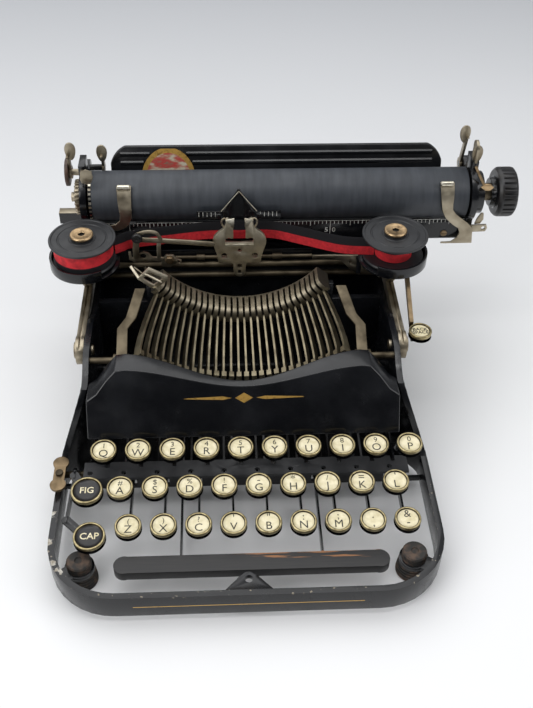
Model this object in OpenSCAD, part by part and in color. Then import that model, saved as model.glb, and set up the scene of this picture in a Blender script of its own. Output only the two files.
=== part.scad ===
// Folding portable typewriter with three rows of keys and a carriage that swings forward over them.
// X runs along the platen, Y from the typist to the back, Z up, in millimetres.
// Sizes are measured from the type basket's middle plane, the front face and the table,
// then everything is moved so that the origin lies on the table under the middle of the whole box.

/* [Placement] */
// Distance from the basket's middle plane to the origin
origin_x = 30; // [20:0.5:40]
// Distance from the front face to the origin
origin_y = 133.5; // [120:0.5:145]

/* [Frame] */
// Half width of the low band round the keyboard
frame_half_w = 107.5; // [105:0.5:112]
// Half width of the frame behind the keyboard
neck_half_w = 92.5; // [91:0.5:95]
// Depth of the frame from front to back
frame_depth = 216; // [212:1:220]
// Thickness of the frame's walls
frame_wall = 3.5; // [2.5:0.1:4]
// Height of the band's lower edge above the table
band_bottom = 5; // [4:0.5:7]
// Height of the band's upper edge
band_top = 21; // [19:0.5:23]
// Radius of the front corners
corner_r = 38; // [34:1:42]
// Where the sides start to draw in
neck_y = 90; // [88:1:94]
// Length over which the sides draw in and rise
neck_len = 24; // [20:1:28]
// Height of the side walls behind the front cover
shoulder_z = 62; // [58:1:66]
// Height of the side walls round the fold pivots
pivot_wall_z = 71; // [70:1:76]
// Height of the frame's rear wall
rear_wall_z = 64; // [60:1:66]
// Height of the web behind the type basket
web_top_z = 64; // [60:1:66]
// Radius of the hole in the front lug
lug_hole_r = 2.2; // [1.5:0.1:3]
// Distance of the front lug's hole from the front face
lug_hole_y = 10.5; // [9:0.5:12]
// Half width of the front lug at the band
lug_half_w = 13; // [9:0.5:16]
// Thickness of the lug and of the foot shelves
shelf_t = 3; // [2:0.1:4]
// Thickness of the floor under the levers
floor_t = 1.5; // [1:0.1:2]

/* [Feet] */
// Radius of a rubber foot where it meets the table
foot_r = 9; // [8:0.1:9.2]
// Radius of the foot's upper part
foot_top_r = 6.8; // [6:0.1:7]
// Radius of the foot's waist inside its shelf
foot_waist_r = 4.5; // [3:0.1:6]
// Height of the shelf that holds a foot
foot_shelf_z = 9; // [8:0.5:11]
// Height of a foot
foot_h = 17.5; // [16:0.5:17.5]
// Distance of a front foot from the band's outer face
front_foot_in = 17; // [16.5:0.5:19]
// Distance of a front foot from the front face
front_foot_y = 27; // [26:0.5:29]
// Gap between a rear foot and the frame's side wall
rear_foot_gap = 3; // [2:0.1:6]
// Distance of a rear foot from the front face
rear_foot_y = 201; // [200:0.5:202]

/* [Front cover] */
// Distance of the cover's lower edge from the front face
cover_front_y = 90; // [89:0.5:92]
// Height of the cover's lower edge
cover_bottom = 43; // [40:0.5:46]
// How far the cover leans back for each millimetre of height
cover_lean = 0.62; // [0.5:0.01:0.66]
// Height of the rim in the middle
rim_mid_z = 68; // [66:0.5:70]
// Height of the rim on the two humps
rim_hump_z = 77; // [75:0.5:79]
// Distance of a hump from the middle plane
hump_x = 70; // [66:1:74]
// Height of the rim at the sides
rim_side_z = 62; // [60:0.5:64]
// Thickness of the cover
cover_wall = 2.5; // [2:0.1:3]
// Depth of the rolled lip in the middle
lip_mid = 5; // [4:0.5:6]
// Depth of the rolled lip on the humps
lip_side = 14; // [12:0.5:15]

/* [Keys] */
// Spacing of the keys along a row
key_pitch = 19.05; // [18.8:0.05:19.3]
// Distance of the middle of the upper rows from the middle plane
keyboard_x = 7; // [6.6:0.1:7.4]
// Outer diameter of a key
key_d = 14.7; // [13.5:0.1:15.5]
// Height of a key's metal cup
key_h = 4.5; // [3.5:0.1:5]
// Diameter of a key's face
face_d = 12.2; // [10:0.1:12.6]
// Thickness of a key's face
face_t = 0.8; // [0.5:0.1:1.2]
// Depth of the faces below the keys' rims
face_sink = 0.4; // [0.2:0.1:0.6]
// Tilt of the key tops towards the typist, in degrees
key_tilt = 5; // [0:0.5:8]
// Distance of the back row from the front face
back_row_y = 80; // [79:0.5:81]
// Height of the back row's key tops
back_row_z = 46; // [45:0.5:47]
// Distance between two rows
row_step_y = 19; // [18.5:0.1:19.5]
// Drop from one row to the next
row_step_z = 9.5; // [9:0.1:10]
// Distance behind a back row key where its lever bends up to it
lever_bend = 22; // [18:0.5:24]
// Thickness of the key levers
lever_t = 1.2; // [0.8:0.1:1.4]
// Height of the key levers
lever_h = 5; // [4:0.1:5.5]
// Distance of the back row's outermost lever from the frame's wall
wall_lever_in = 3.2; // [3:0.1:3.4]
// Distance of the middle row's outermost lever from the frame's wall
mid_lever_in = 4.65; // [4.6:0.05:4.7]
// Distance of the front row's outermost lever from the frame's wall
front_lever_in = 1; // [0.9:0.05:1]
// Distance of the lever rod from the front face
fulcrum_y = 174; // [170:0.5:175]
// Height of the lever rod
fulcrum_z = 20; // [19:0.5:21]
// Radius of the lever rod
fulcrum_r = 1.5; // [1.2:0.1:1.8]
// Clearance of every shaft in its bore
running_gap = 0.05; // [0.02:0.01:0.09]
// Gap between pieces that meet without a fit
seam_gap = 0.2; // [0.1:0.05:0.3]

/* [Key guide] */
// Radius of the round holes in the guide's upper plate
guide_hole_r = 1.5; // [1:0.1:2]
// Distance of the guide's upright plate from the front face
guide_y = 86; // [85.5:0.1:87]
// Thickness of the guide's plates
guide_t = 2; // [1.5:0.1:2.2]
// Height of the guide's upper face
guide_z = 26; // [25:0.5:28]
// Depth of the guide's upper plate
guide_depth = 12; // [11:0.5:12.5]
// Free width between the guide and the band on the left, where the shift levers pass
guide_left_gap = 12; // [12:0.1:13]
// Free width between the guide and the band on the right
guide_right_gap = 10; // [9:0.1:13]
// Free width on each side of a lever in its slot
slot_gap = 0.6; // [0.4:0.1:0.9]

/* [Space bar] */
// Length of the space bar
space_len = 147; // [130:1:150]
// Depth of the space bar
space_depth = 10.5; // [9:0.1:11]
// Thickness of the space bar
space_t = 6; // [5:0.1:7]
// Distance of the space bar's middle from the front face
space_y = 22; // [21.5:0.1:23]
// Height of the space bar's upper face
space_z = 19; // [18:0.5:20]

/* [Shift keys] */
// Diameter of a shift key
shift_key_d = 17.4; // [16:0.1:18]
// Distance of the shift levers' pin from the front face
shift_pin_y = 88; // [87:0.5:89]
// Height of the shift levers' pin
shift_pin_z = 16; // [15:0.5:16]
// Radius of the shift levers' pin
shift_pin_r = 2; // [1.5:0.1:2.2]
// Distance from the middle row's first key to the upper shift key
upper_shift_step = 17.8; // [17.3:0.1:18.2]
// Upper shift key's distance from the front face
upper_shift_y = 59; // [58:0.5:60]
// Height of the upper shift key's top
upper_shift_z = 37; // [36:0.5:38]
// Distance from the front row's first key to the lower shift key
lower_shift_step = 20.06; // [19:0.02:21]
// Lower shift key's distance from the front face
lower_shift_y = 35; // [34:0.5:36]
// Height of the lower shift key's top
lower_shift_z = 28; // [27:0.5:29]
// Distance of the upper shift key's lever from the band's inner face
upper_lever_in = 8.5; // [8:0.1:9]
// Distance of the lower shift key's lever from the band's inner face
lower_lever_in = 5.5; // [5:0.1:6]
// Distance behind a shift key where its lever turns to the side
shift_turn = 14; // [12:0.5:15]
// Length of the shift lock's tab
lock_len = 25; // [22:0.5:25.5]
// Width of the shift lock's tab
lock_w = 9; // [7:0.5:10]
// Thickness of the shift lock's tab
lock_t = 1.6; // [1.2:0.1:2]
// Radius of the shift lock's screw
lock_pin_r = 1; // [0.8:0.1:1.2]
// Distance of the shift lock's screw from the front face
lock_y = 81; // [78:0.5:81]
// Height of the shift lock above the band
lock_rise = 3; // [2.8:0.1:4]

/* [Type basket] */
// Height of the axis that the type segment curves round
segment_axis_z = 127; // [125:0.5:129]
// Radius of the typebars' pivots round that axis
segment_r = 66; // [64:0.5:68]
// Angle between two typebars, in degrees
bar_pitch = 3.5; // [3.3:0.05:3.55]
// Distance of the typebars' pivots from the front face
bar_pivot_y = 183; // [182:0.5:184]
// Reach of a typebar along the machine
bar_reach = 54; // [52:0.5:55]
// Fall of the middle typebars from their pivots to their ends
bar_drop = 10.5; // [9:0.5:12]
// Fall of the outermost typebars from their pivots to their ends
side_bar_drop = 17; // [14:0.5:18]
// Thickness of a typebar
bar_t = 1.2; // [0.9:0.1:1.4]
// Height of a typebar
bar_h = 5; // [4:0.1:5.4]
// Height of a typebar at its pivot
bar_root_h = 3.4; // [2.6:0.1:3.8]
// Width of a type slug
slug_w = 2.8; // [2.2:0.1:3]
// Length of a type slug along its bar
slug_len = 4; // [3:0.1:5]
// Height of a type slug
slug_h = 7; // [6:0.1:8]
// Radius of the wire that the typebars turn on
wire_r = 0.8; // [0.6:0.05:0.9]
// Depth of the segment inside the typebars' pivots
segment_in = 4.5; // [4:0.1:5]
// Depth of the segment outside the typebars' pivots
segment_out = 5; // [4.5:0.1:5.5]
// Reach of the segment in front of the typebars' pivots
segment_front = 6; // [5:0.5:7]
// Height of a type slug's middle above its typebar
slug_rise = 1; // [0.5:0.1:1.5]
// Free width on each side of a typebar in its slot
bar_gap = 0.25; // [0.15:0.05:0.35]
// Depth of a typebar's slot below its pivot
slot_depth = 4.3; // [3.8:0.1:4.5]
// Length of a typebar's slot behind its pivot
slot_back = 6.5; // [6:0.5:7]
// Thickness of the frame's web under the segment
web_t = 4; // [3:0.5:5]
// Distance of that web from the front face
web_y = 187; // [186:0.5:188]

/* [Shift lift] */
// Distance of the lift arms' pivots from the front face
lift_pivot_y = 131; // [130:0.5:132]
// Height of the lift arms' pivots
lift_pivot_z = 66; // [65:0.5:67]
// Radius of the lift arms' pins
lift_pin_r = 2; // [1.5:0.1:2.2]
// Length of a lift arm from its pivot
lift_len = 44; // [40:0.5:46]
// Slope of the lift arms, in degrees
lift_slope = 27; // [24:0.5:30]
// Width of a lift arm
lift_w = 6; // [5:0.1:6.5]
// Thickness of a lift arm
lift_t = 1.6; // [1.2:0.1:2]

/* [Fold] */
// Distance of the fold pivots from the front face
fold_y = 145; // [144:0.5:146]
// Height of the fold pivots
fold_z = 62; // [61:0.5:63]
// Radius of the fold pivots' screws
fold_r = 3; // [2.5:0.1:3.5]
// Thickness of a fold arm
arm_t = 5; // [4.5:0.1:6]
// Gap between the frame and a fold arm
arm_gap = 0.5; // [0.4:0.1:0.7]
// Width of a fold arm
arm_w = 13; // [11:0.5:14]
// Distance of the arms' rear ends from the front face
arm_rear_y = 220; // [218:0.5:221]
// Width of the groove along an arm
arm_groove = 1; // [0.5:0.1:1.5]
// Height of the arms' upper faces, where the spool cups sit
arm_top_z = 88; // [87:0.5:88.5]
// Distance of the carriage's lift posts from the front face
post_y = 236; // [235:0.5:237]
// Radius of the lift posts
post_r = 3; // [2.5:0.1:3]
// Height of the lift posts' foot
post_foot_z = 54; // [52:0.5:55]
// Height of the lift posts' top
post_top_z = 79; // [78:0.5:79.5]
// Radius of the rails across the front of the upper frame
rail_r = 2; // [1.5:0.1:2.5]
// Distance of those rails from the front face
rail_y = 208; // [207.5:0.1:208.5]
// Height of the upper rail
rail_z = 77; // [76:0.5:78]
// Distance between the two rails
rail_step = 8; // [7:0.5:8.5]
// Thickness of the apron behind the rails
apron_t = 1.2; // [0.8:0.1:1.6]
// Gap between the apron and the frame's walls below it
apron_gap = 0.6; // [0.4:0.1:1]

/* [Ribbon] */
// How far a spool's axis lies inside the middle of its fold arm
spool_in = 0.5; // [0:0.1:1.5]
// Distance of the spools from the front face
spool_y = 196; // [195:0.5:196.5]
// Height of the spools' upper faces
spool_top_z = 107; // [106.5:0.5:107.5]
// Radius of a spool's discs
spool_r = 20.2; // [19.5:0.1:20.5]
// Thickness of a spool's discs
disc_t = 1.5; // [1:0.1:2]
// Radius of the wound ribbon on the left spool
full_roll_r = 18; // [15:0.5:19]
// Radius of the wound ribbon on the right spool
small_roll_r = 11.5; // [9:0.5:14]
// Width of the ribbon
ribbon_w = 12.7; // [12.5:0.1:13]
// Thickness of the ribbon
ribbon_t = 0.5; // [0.4:0.1:0.8]
// Distance of the ribbon's middle from the front face
ribbon_y = 213.6; // [213:0.1:214]
// Radius of a spool's post
spool_post_r = 2.5; // [2:0.1:3]
// Radius of a spool's thumb nut
nut_r = 7; // [6:0.1:8]
// Height of a spool's thumb nut
nut_h = 3.2; // [2.5:0.1:3.5]
// Radius of a spool cup
cup_r = 21.2; // [21:0.1:21.3]
// Height of a spool cup
cup_h = 7; // [5:0.5:8]
// Thickness of a spool cup
cup_wall = 1.4; // [1:0.1:1.6]

/* [Type guide] */
// Width of the type guide
type_guide_w = 33; // [28:0.5:36]
// Thickness of the type guide
type_guide_t = 2; // [1.5:0.1:2.2]
// Distance of the type guide from the front face
type_guide_y = 203.6; // [203:0.1:203.9]
// Height of the type guide's lower end
type_guide_low_z = 70; // [69:0.5:71]
// Height of the type guide's prongs
type_guide_top_z = 114; // [112:0.5:115]
// Width of the slot that the type passes through
type_slot_w = 8; // [7:0.5:9]
// Width of the tongue under the type guide
tongue_w = 7.6; // [6:0.2:9]
// Height of the card holder's peak
card_peak_z = 127; // [125:0.5:128]
// Thickness of the card holder
card_t = 0.8; // [0.6:0.1:1]
// Gap between the ribbon and the card holder
card_gap = 0.7; // [0.5:0.1:0.9]
// Half length of the card holder's scale
card_half_w = 26; // [24:0.5:28]

/* [Carriage] */
// How far the carriage stands to the right of the middle
carriage_x = 26; // [24:0.5:28]
// Length of the platen
platen_len = 237; // [230:1:240]
// Radius of the platen
platen_r = 16; // [15.5:0.1:16.2]
// Distance of the platen's axis from the front face
platen_y = 235; // [234.8:0.1:235.5]
// Height of the platen's axis
platen_z = 111; // [110.5:0.1:111.5]
// Radius of the platen's shaft
shaft_r = 3; // [2.5:0.1:3.5]
// Thickness of the carriage's end plates
end_t = 4; // [3:0.1:4.4]
// Gap between the platen and an end plate
end_gap = 1.2; // [0.8:0.1:1.4]
// Reach of the end plates in front of the platen's axis
end_front = 12; // [11:0.5:12.5]
// Reach of the end plates behind the platen's axis
end_back = 14; // [13:0.5:15]
// Width of the end plates' upright horns
horn_w = 14; // [12:0.5:15]
// Height of the end plates' horns above the platen's axis
horn_h = 24; // [22:0.5:25]
// Diameter of the platen knob
knob_d = 31.5; // [28:0.5:33]
// Length of the platen knob
knob_len = 15.5; // [14:0.5:18]
// Gap between the right end plate and the knob
knob_gap = 11; // [10:0.5:12]
// Diameter of the knob's neck
knob_neck_d = 11; // [9:0.5:13]
// Diameter of the guard ring on the right end plate
guard_ring_d = 27; // [24:0.5:29]
// Length of the guard ring
guard_ring_len = 5; // [4:0.5:5.5]
// Free space between the guard ring and the neck
guard_gap = 1; // [0.5:0.1:1.5]
// Number of grooves round the knob
knob_ribs = 28; // [20:1:32]
// Depth of the carriage bed
bed_depth = 20; // [18:0.5:21]
// Height of the carriage bed's lower face
bed_low_z = 68; // [67:0.5:69]
// Height of the carriage bed's upper face
bed_top_z = 80; // [80:0.1:80.4]
// Height of the bed's lugs round the lift posts
bed_lug_h = 22; // [20:0.5:23]
// Width of the rail on the bed
bed_rail_w = 6; // [5:0.1:7]
// Height of the rail on the bed
bed_rail_h = 3; // [2.5:0.1:3.2]
// Clearance of the carriage on its rail
slide_gap = 0.3; // [0.25:0.05:0.4]
// Height of the carriage's runner
runner_h = 5.5; // [5:0.1:5.7]
// Radius of the feed rollers
feed_r = 4.5; // [4:0.1:4.6]
// Radius of the feed rollers' shaft
feed_shaft_r = 1.5; // [1.2:0.1:2]
// Gap between the feed rollers and the platen
feed_gap = 0.3; // [0.2:0.05:0.4]

/* [Paper] */
// Distance of the paper table's left edge from the platen's left end
table_inset = 11; // [9:0.5:14]
// Gap between the platen and the paper table
paper_gap = 5; // [4.6:0.1:5.4]
// Height of the paper table's top edge
table_top_z = 129; // [126:0.5:132]
// Height of the paper table's lower edge
table_low_z = 98; // [96:0.5:100]
// Thickness of the paper table
table_t = 2; // [1.5:0.1:2.5]
// Radius of the paper table's upper corners
table_corner_r = 14; // [10:0.5:16]
// How far the paper table's top leans back
table_lean = 9; // [6:0.5:11]
// Distance of the line scale from the front face
scale_y = 221.5; // [221:0.1:222]
// Height of the line scale's lower edge
scale_low_z = 85; // [84:0.5:86]
// Height of the line scale's upper edge
scale_top_z = 100; // [99:0.5:100.5]
// Thickness of the line scale
scale_t = 1.2; // [1:0.1:1.4]
// Width of the lugs at the line scale's ends
scale_lug_w = 3; // [2:0.1:4]
// Height of those lugs
scale_lug_h = 6; // [5:0.1:7]
// How far those lugs reach in beside the end plates
scale_lug_in = 4.5; // [3:0.1:5]
// Width of the paper table's legs
table_leg_w = 8; // [6:0.5:10]
// Distance of the left leg from the paper table's edge
left_leg_in = 20; // [16:1:24]
// Distance of the right leg from the paper table's edge
right_leg_in = 20; // [16:1:24]
// Width of a paper finger
finger_w = 9; // [7:0.5:10]
// Thickness of a paper finger
finger_t = 0.8; // [0.6:0.1:0.9]
// Radius of a paper finger's hinge
finger_pin_r = 1; // [0.8:0.1:1.1]
// Gap between the platen and a paper finger
finger_gap = 0.6; // [0.5:0.05:0.7]
// Distance of the left finger from the platen's left end
left_finger_inset = 22; // [18:0.5:26]
// Distance of the right finger from the platen's right end
right_finger_inset = 15; // [14:0.5:18]

/* [Levers] */
// Thickness of the carriage's hand levers
hand_lever_t = 1.6; // [1.2:0.1:2]
// Width of a hand lever
hand_lever_w = 4; // [3:0.1:5]
// Distance of the hand levers from the end plates
lever_stand = 6.5; // [6:0.1:7]
// Distance of the carriage release from the right end plate
release_stand = 2.2; // [2:0.1:2.6]
// Width of a hand lever's finger tip
hand_tip_w = 9; // [7:0.5:10]
// Radius of the hand levers' pins
hand_pin_r = 2; // [1.5:0.1:2.2]
// Radius of the round button on the line space lever's pin
hand_button_r = 8.5; // [6:0.5:9]
// Height of the carriage release's tip
release_tip_z = 147; // [144:0.5:150]
// Height of the paper release's tip
paper_lever_tip_z = 134; // [133:0.5:137]
// Height of the line space lever's tip
space_lever_tip_z = 144; // [142:0.5:146]
// Radius of the mainspring drum
drum_r = 18; // [14:0.5:19]
// Radius of the mainspring drum's pin
drum_pin_r = 3; // [2.5:0.1:4]
// Gap between the bed and the drum
drum_gap = 0.5; // [0.3:0.1:0.8]
// Free width round the drum where it passes the frame's rear wall
drum_clear = 1; // [0.5:0.1:1.5]
// How far the drum's pin stands out below the drum
drum_pin_out = 1; // [0.5:0.1:1.5]
// Height of the mainspring drum
drum_h = 9; // [7:0.5:9.5]
// Distance of the mainspring drum from the middle plane
drum_x = 55; // [40:1:60]
// Diameter of the backspace key
back_key_d = 14; // [12:0.5:15]
// Distance of the backspace key from the right fold arm's outer face
back_key_out = 10.5; // [10:0.1:12]
// Distance of the backspace key from the front face
back_key_y = 153; // [151:0.5:155]
// Height of the backspace key's top
back_key_z = 66; // [64:0.5:68]
// Radius of the backspace lever's pin
back_pin_r = 1.5; // [1.2:0.1:1.8]
// Distance of the backspace lever's pin from the front face
back_pin_y = 192; // [191:0.5:193]
// Height of the backspace lever's pin
back_pin_z = 81; // [80:0.5:82]

/* [Hidden] */
$fn = 48;
overlap = 0.01;
far = 400;
strap_end = 1.05;

NODES = ["base_frame", "front_cover", "rubber_feet", "key_guide", "type_segment", "typebars",
    "strike_typebar", "pivot_screws", "shift_lift_arms",
    "key_q", "key_w", "key_e", "key_r", "key_t", "key_y", "key_u", "key_i", "key_o", "key_p",
    "key_a", "key_s", "key_d", "key_f", "key_g", "key_h", "key_j", "key_k", "key_l",
    "key_z", "key_x", "key_c", "key_v", "key_b", "key_n", "key_m", "key_stop", "key_and",
    "space_bar", "upper_shift_key", "lower_shift_key", "shift_lock",
    "fold_frame", "spool_cups", "type_guide", "ribbon", "spool_left", "spool_right", "backspace_key",
    "carriage_bed", "mainspring_drum", "carriage_frame", "paper_table", "line_scale", "paper_fingers",
    "platen", "platen_knob", "feed_roller", "line_space_lever", "carriage_release", "paper_release"];

black = "#1c1d20";
nickel = "#8a8270";
brass = "#a08055";
cream = "#d9d3a8";
red = "#b02a2a";
rubber = "#2e3136";

key_names = [for (n = NODES) if (n[0] == "k" && n[1] == "e" && n[2] == "y" && n != "key_guide") n];
row_counts = [10, 9, 9];
row_shift = [0, 0, key_pitch / 4];
bar_count = 28;
strike_bar = 14;
neck_end = neck_y + neck_len;
band_in = frame_half_w - frame_wall;
drum_low_z = bed_low_z - drum_gap - drum_h;
front_foot_x = frame_half_w - front_foot_in;
rear_foot_x = neck_half_w - frame_wall - rear_foot_gap - foot_r;
guide_left_w = band_in - guide_left_gap;
guide_right_w = band_in - guide_right_gap;
upper_shift_x = 4 * key_pitch - keyboard_x + upper_shift_step;
lower_shift_x = 3.75 * key_pitch - keyboard_x + lower_shift_step;
upper_lever_x = band_in - upper_lever_in;
lower_lever_x = band_in - lower_lever_in;
lock_x = frame_wall / 2 - frame_half_w;
lock_z = band_top + lock_rise;
wall_in = neck_half_w - frame_wall;
cover_half_w = wall_in - seam_gap;
segment_in_r = segment_r - segment_in;
segment_out_r = segment_r + segment_out;
segment_front_y = bar_pivot_y - segment_front;
segment_back_y = web_y + web_t + seam_gap;
bar_front_y = bar_pivot_y - bar_reach;
wire_bore_r = wire_r + running_gap;
arm_in = neck_half_w + arm_gap;
arm_out = arm_in + arm_t;
arm_mid = arm_in + arm_t / 2;
back_key_x = arm_out + back_key_out;
spool_x = arm_mid - spool_in;
bed_half_w = arm_out + 1.5;
platen_left = carriage_x - platen_len / 2;
platen_right = carriage_x + platen_len / 2;
left_plate_x = platen_left - end_gap - end_t;
right_plate_x = platen_right + end_gap;
knob_x = right_plate_x + end_t + knob_gap;
button_x = left_plate_x - lever_stand - seam_gap;
paper_lever_x = left_plate_x + end_t + lever_stand + 1;
runner_z = bed_top_z + slide_gap;
runner_top_z = runner_z + runner_h;
feed_drop = sqrt(pow(platen_r + feed_r + feed_gap, 2) - pow(platen_r / 2, 2));
feed_y = platen_y + platen_r / 2;
feed_z = platen_z - feed_drop;
table_y = platen_y + platen_r + paper_gap;
cup_floor_z = arm_top_z;
line_pin = [platen_y + 3, platen_z + 16];
release_pin = [platen_y + 20, platen_z + 9];
paper_pin = [platen_y + 20, platen_z + 9];
finger_top = 128;
finger_foot = 222;
finger_pin = [platen_y + (platen_r + finger_gap + finger_t / 2) * cos(finger_foot),
    platen_z + (platen_r + finger_gap + finger_t / 2) * sin(finger_foot) - 0.6];
ribbon_z = spool_top_z - disc_t - seam_gap - ribbon_w;
spool_low_z = ribbon_z - seam_gap - disc_t;
finger_r = platen_r + finger_gap;
finger_x = [platen_left + left_finger_inset, platen_right - right_finger_inset];

function ease(t) = t <= 0 ? 0 : t >= 1 ? 1 : t * t * (3 - 2 * t);
function mix(a, b, t) = a + (b - a) * t;
function reversed(v) = [for (i = [len(v) - 1:-1:0]) v[i]];
function mirrored(v) = concat(v, [for (p = reversed(v)) [-p[0], p[1]]]);

// The frame's outline in plan, drawn in by a distance on every side
function frame_outline(inset) = mirrored(concat(
    [for (a = [-90:10:0])
        [frame_half_w - corner_r + (corner_r - inset) * cos(a), corner_r + (corner_r - inset) * sin(a)]],
    [for (i = [0:8]) [mix(frame_half_w, neck_half_w, ease(i / 8)) - inset, neck_y + neck_len * i / 8]],
    [[neck_half_w - inset, frame_depth - inset]]));

// Height of the frame's upper edge at a distance from the front
function frame_top(y) = band_top
    + (shoulder_z - band_top) * ease((y - neck_y) / neck_len)
    + (pivot_wall_z - shoulder_z) * ease((y - neck_end) / (fold_y - neck_end - 8))
    - (pivot_wall_z - rear_wall_z) * ease((y - fold_y - 12) / 24);

// Height of the front cover's rim at a distance from the middle plane
function rim_z(x) = abs(x) <= hump_x
    ? mix(rim_mid_z, rim_hump_z, ease(abs(x) / hump_x))
    : mix(rim_hump_z, rim_side_z, ease((abs(x) - hump_x) / (cover_half_w - hump_x)));
function cover_y(z) = cover_front_y + cover_lean * (z - cover_bottom);
function lip_y(x) = cover_y(rim_z(x)) + mix(lip_mid, lip_side, ease(abs(x) / hump_x));

// Row, place along the row and lever position of a letter key, counted from the back row's left end
function key_row(i) = i < row_counts[0] ? 0 : i < row_counts[0] + row_counts[1] ? 1 : 2;
function key_place(i) = key_row(i) == 0 ? i
    : key_row(i) == 1 ? i - row_counts[0]
    : i - row_counts[0] - row_counts[1];
function key_x(i) = keyboard_x + row_shift[key_row(i)]
    + (key_place(i) - (row_counts[key_row(i)] - 1) / 2) * key_pitch;
function key_y(i) = back_row_y - key_row(i) * row_step_y;
function key_z(i) = back_row_z - key_row(i) * row_step_z;
function lever_z(i) = fulcrum_z - key_row(i) * 1.5;
function lever_max(i) = wall_in - [wall_lever_in, mid_lever_in, front_lever_in][key_row(i)];
function lever_x(i) = max(min(key_x(i), lever_max(i)), -lever_max(i));
function key_bend(i) = lever_bend - key_row(i) * 6;
space_arm_x = [for (s = [-1, 1]) keyboard_x - key_pitch / 4 + s * 2 * key_pitch];

// Angle of a typebar round the segment's axis and its radius along its length
function bar_angle(i) = (i - (bar_count - 1) / 2) * bar_pitch;
function bar_fall(i) = mix(bar_drop, side_bar_drop, pow(bar_angle(i) / bar_angle(bar_count - 1), 2));
function bar_r(s, fall) = segment_r + fall * sin(90 * s);
function bar_half(s) = mix(bar_root_h, bar_h, ease(4 * (s - 1 / 8))) / 2;

// Extrudes an outline drawn in Y and Z along X
module across(x, t) translate([x, 0, 0]) rotate([90, 0, 90]) linear_extrude(t) children();

// Extrudes an outline drawn in X and Z along Y
module along(y, t) translate([0, y + t, 0]) rotate([90, 0, 0]) linear_extrude(t) children();

module x_rod(x0, x1, y, z, r) translate([x0, y, z]) rotate([0, 90, 0]) cylinder(h = x1 - x0, r = r);

module z_rod(x, y, z0, z1, r) translate([x, y, z0]) cylinder(h = z1 - z0, r = r);

// A flat bar between two points, drawn in two dimensions, with slightly wider round ends
module strap(a, b, w) {
    d = b - a;
    translate(a) rotate(atan2(d[1], d[0])) translate([0, -w / 2]) square([norm(d), w]);
    for (p = [a, b]) translate(p) circle(d = w * strap_end);
}

module both_sides() {
    children();
    mirror([1, 0, 0]) children();
}

// Puts a piece drawn in the middle plane below the segment's axis at an angle round it
module in_basket(angle) translate([0, 0, segment_axis_z]) rotate([0, -angle, 0]) children();

// A ring-shaped piece round the segment's axis, from an outline of radius and distance from the front
module round_basket(half_angle) translate([0, 0, segment_axis_z]) rotate([90, 0, 0])
    rotate([0, 0, -90 - half_angle]) rotate_extrude(angle = 2 * half_angle, $fn = 180)
        mirror([0, 1]) children();

module foot_places() both_sides() {
    translate([front_foot_x, front_foot_y, 0]) children();
    translate([rear_foot_x, rear_foot_y, 0]) children();
}

module frame_walls() intersection() {
    linear_extrude(far) difference() {
        polygon(frame_outline(0));
        polygon(frame_outline(frame_wall));
    }
    across(-far / 2, far) polygon(concat(
        [[-1, band_bottom], [frame_depth + 1, band_bottom]],
        [for (y = [frame_depth + 1:-3:neck_y]) [y, frame_top(y)]],
        [[neck_y, band_top], [-1, band_top]]));
}

module frame_web() along(web_y, web_t) difference() {
    union() {
        translate([seam_gap - wall_in, fulcrum_z])
            square([2 * (wall_in - seam_gap), web_top_z - fulcrum_z]);
        translate([-segment_out_r * 0.82, fulcrum_z])
            square([2 * segment_out_r * 0.82, segment_axis_z - segment_out_r * 0.72 - fulcrum_z]);
    }
    translate([0, segment_axis_z]) circle(r = segment_out_r + running_gap, $fn = 120);
}

module frame_shelves() intersection() {
    union() {
        foot_places() translate([0, 0, foot_shelf_z]) cylinder(h = shelf_t, r = foot_r - 1);
        both_sides() translate([0, 0, foot_shelf_z]) linear_extrude(shelf_t) {
            strap([front_foot_x, front_foot_y], [frame_half_w, front_foot_y - 12], foot_r);
            strap([rear_foot_x, rear_foot_y], [neck_half_w, rear_foot_y], foot_r);
        }
    }
    linear_extrude(far) polygon(frame_outline(frame_wall - overlap));
}

module frame_floor() difference() {
    translate([0, 0, band_bottom]) linear_extrude(floor_t) intersection() {
        polygon(frame_outline(frame_wall + seam_gap));
        translate([-far / 2, guide_y + guide_t + 12]) square(far);
    }
    foot_places() cylinder(h = foot_shelf_z, r = foot_r + seam_gap);
}

module frame_lug() translate([0, 0, band_top - shelf_t - 1]) linear_extrude(shelf_t) {
    polygon([[-lug_half_w, frame_wall - overlap], [lug_half_w, frame_wall - overlap],
        [2 * lug_hole_r, lug_hole_y + lug_hole_r], [-2 * lug_hole_r, lug_hole_y + lug_hole_r]]);
    translate([0, lug_hole_y]) circle(r = 2 * lug_hole_r);
}

module base_frame() color(black) difference() {
    union() {
        frame_walls();
        frame_web();
        frame_shelves();
        frame_floor();
        frame_lug();
    }
    z_rod(0, lug_hole_y, 0, far, lug_hole_r);
    foot_places() cylinder(h = far / 8, r = foot_waist_r + running_gap);
    x_rod(-far / 2, far / 2, fold_y, fold_z, fold_r + running_gap);
    x_rod(-far / 2, far / 2, lift_pivot_y, lift_pivot_z, lift_pin_r + running_gap);
    x_rod(-far / 2, -neck_half_w, shift_pin_y, shift_pin_z, shift_pin_r + running_gap);
    z_rod(lock_x, lock_y, band_top - 8, far, lock_pin_r + running_gap);
    z_rod(-drum_x, post_y, drum_low_z - drum_pin_out - drum_clear, far, drum_r + drum_clear);
}

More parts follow.
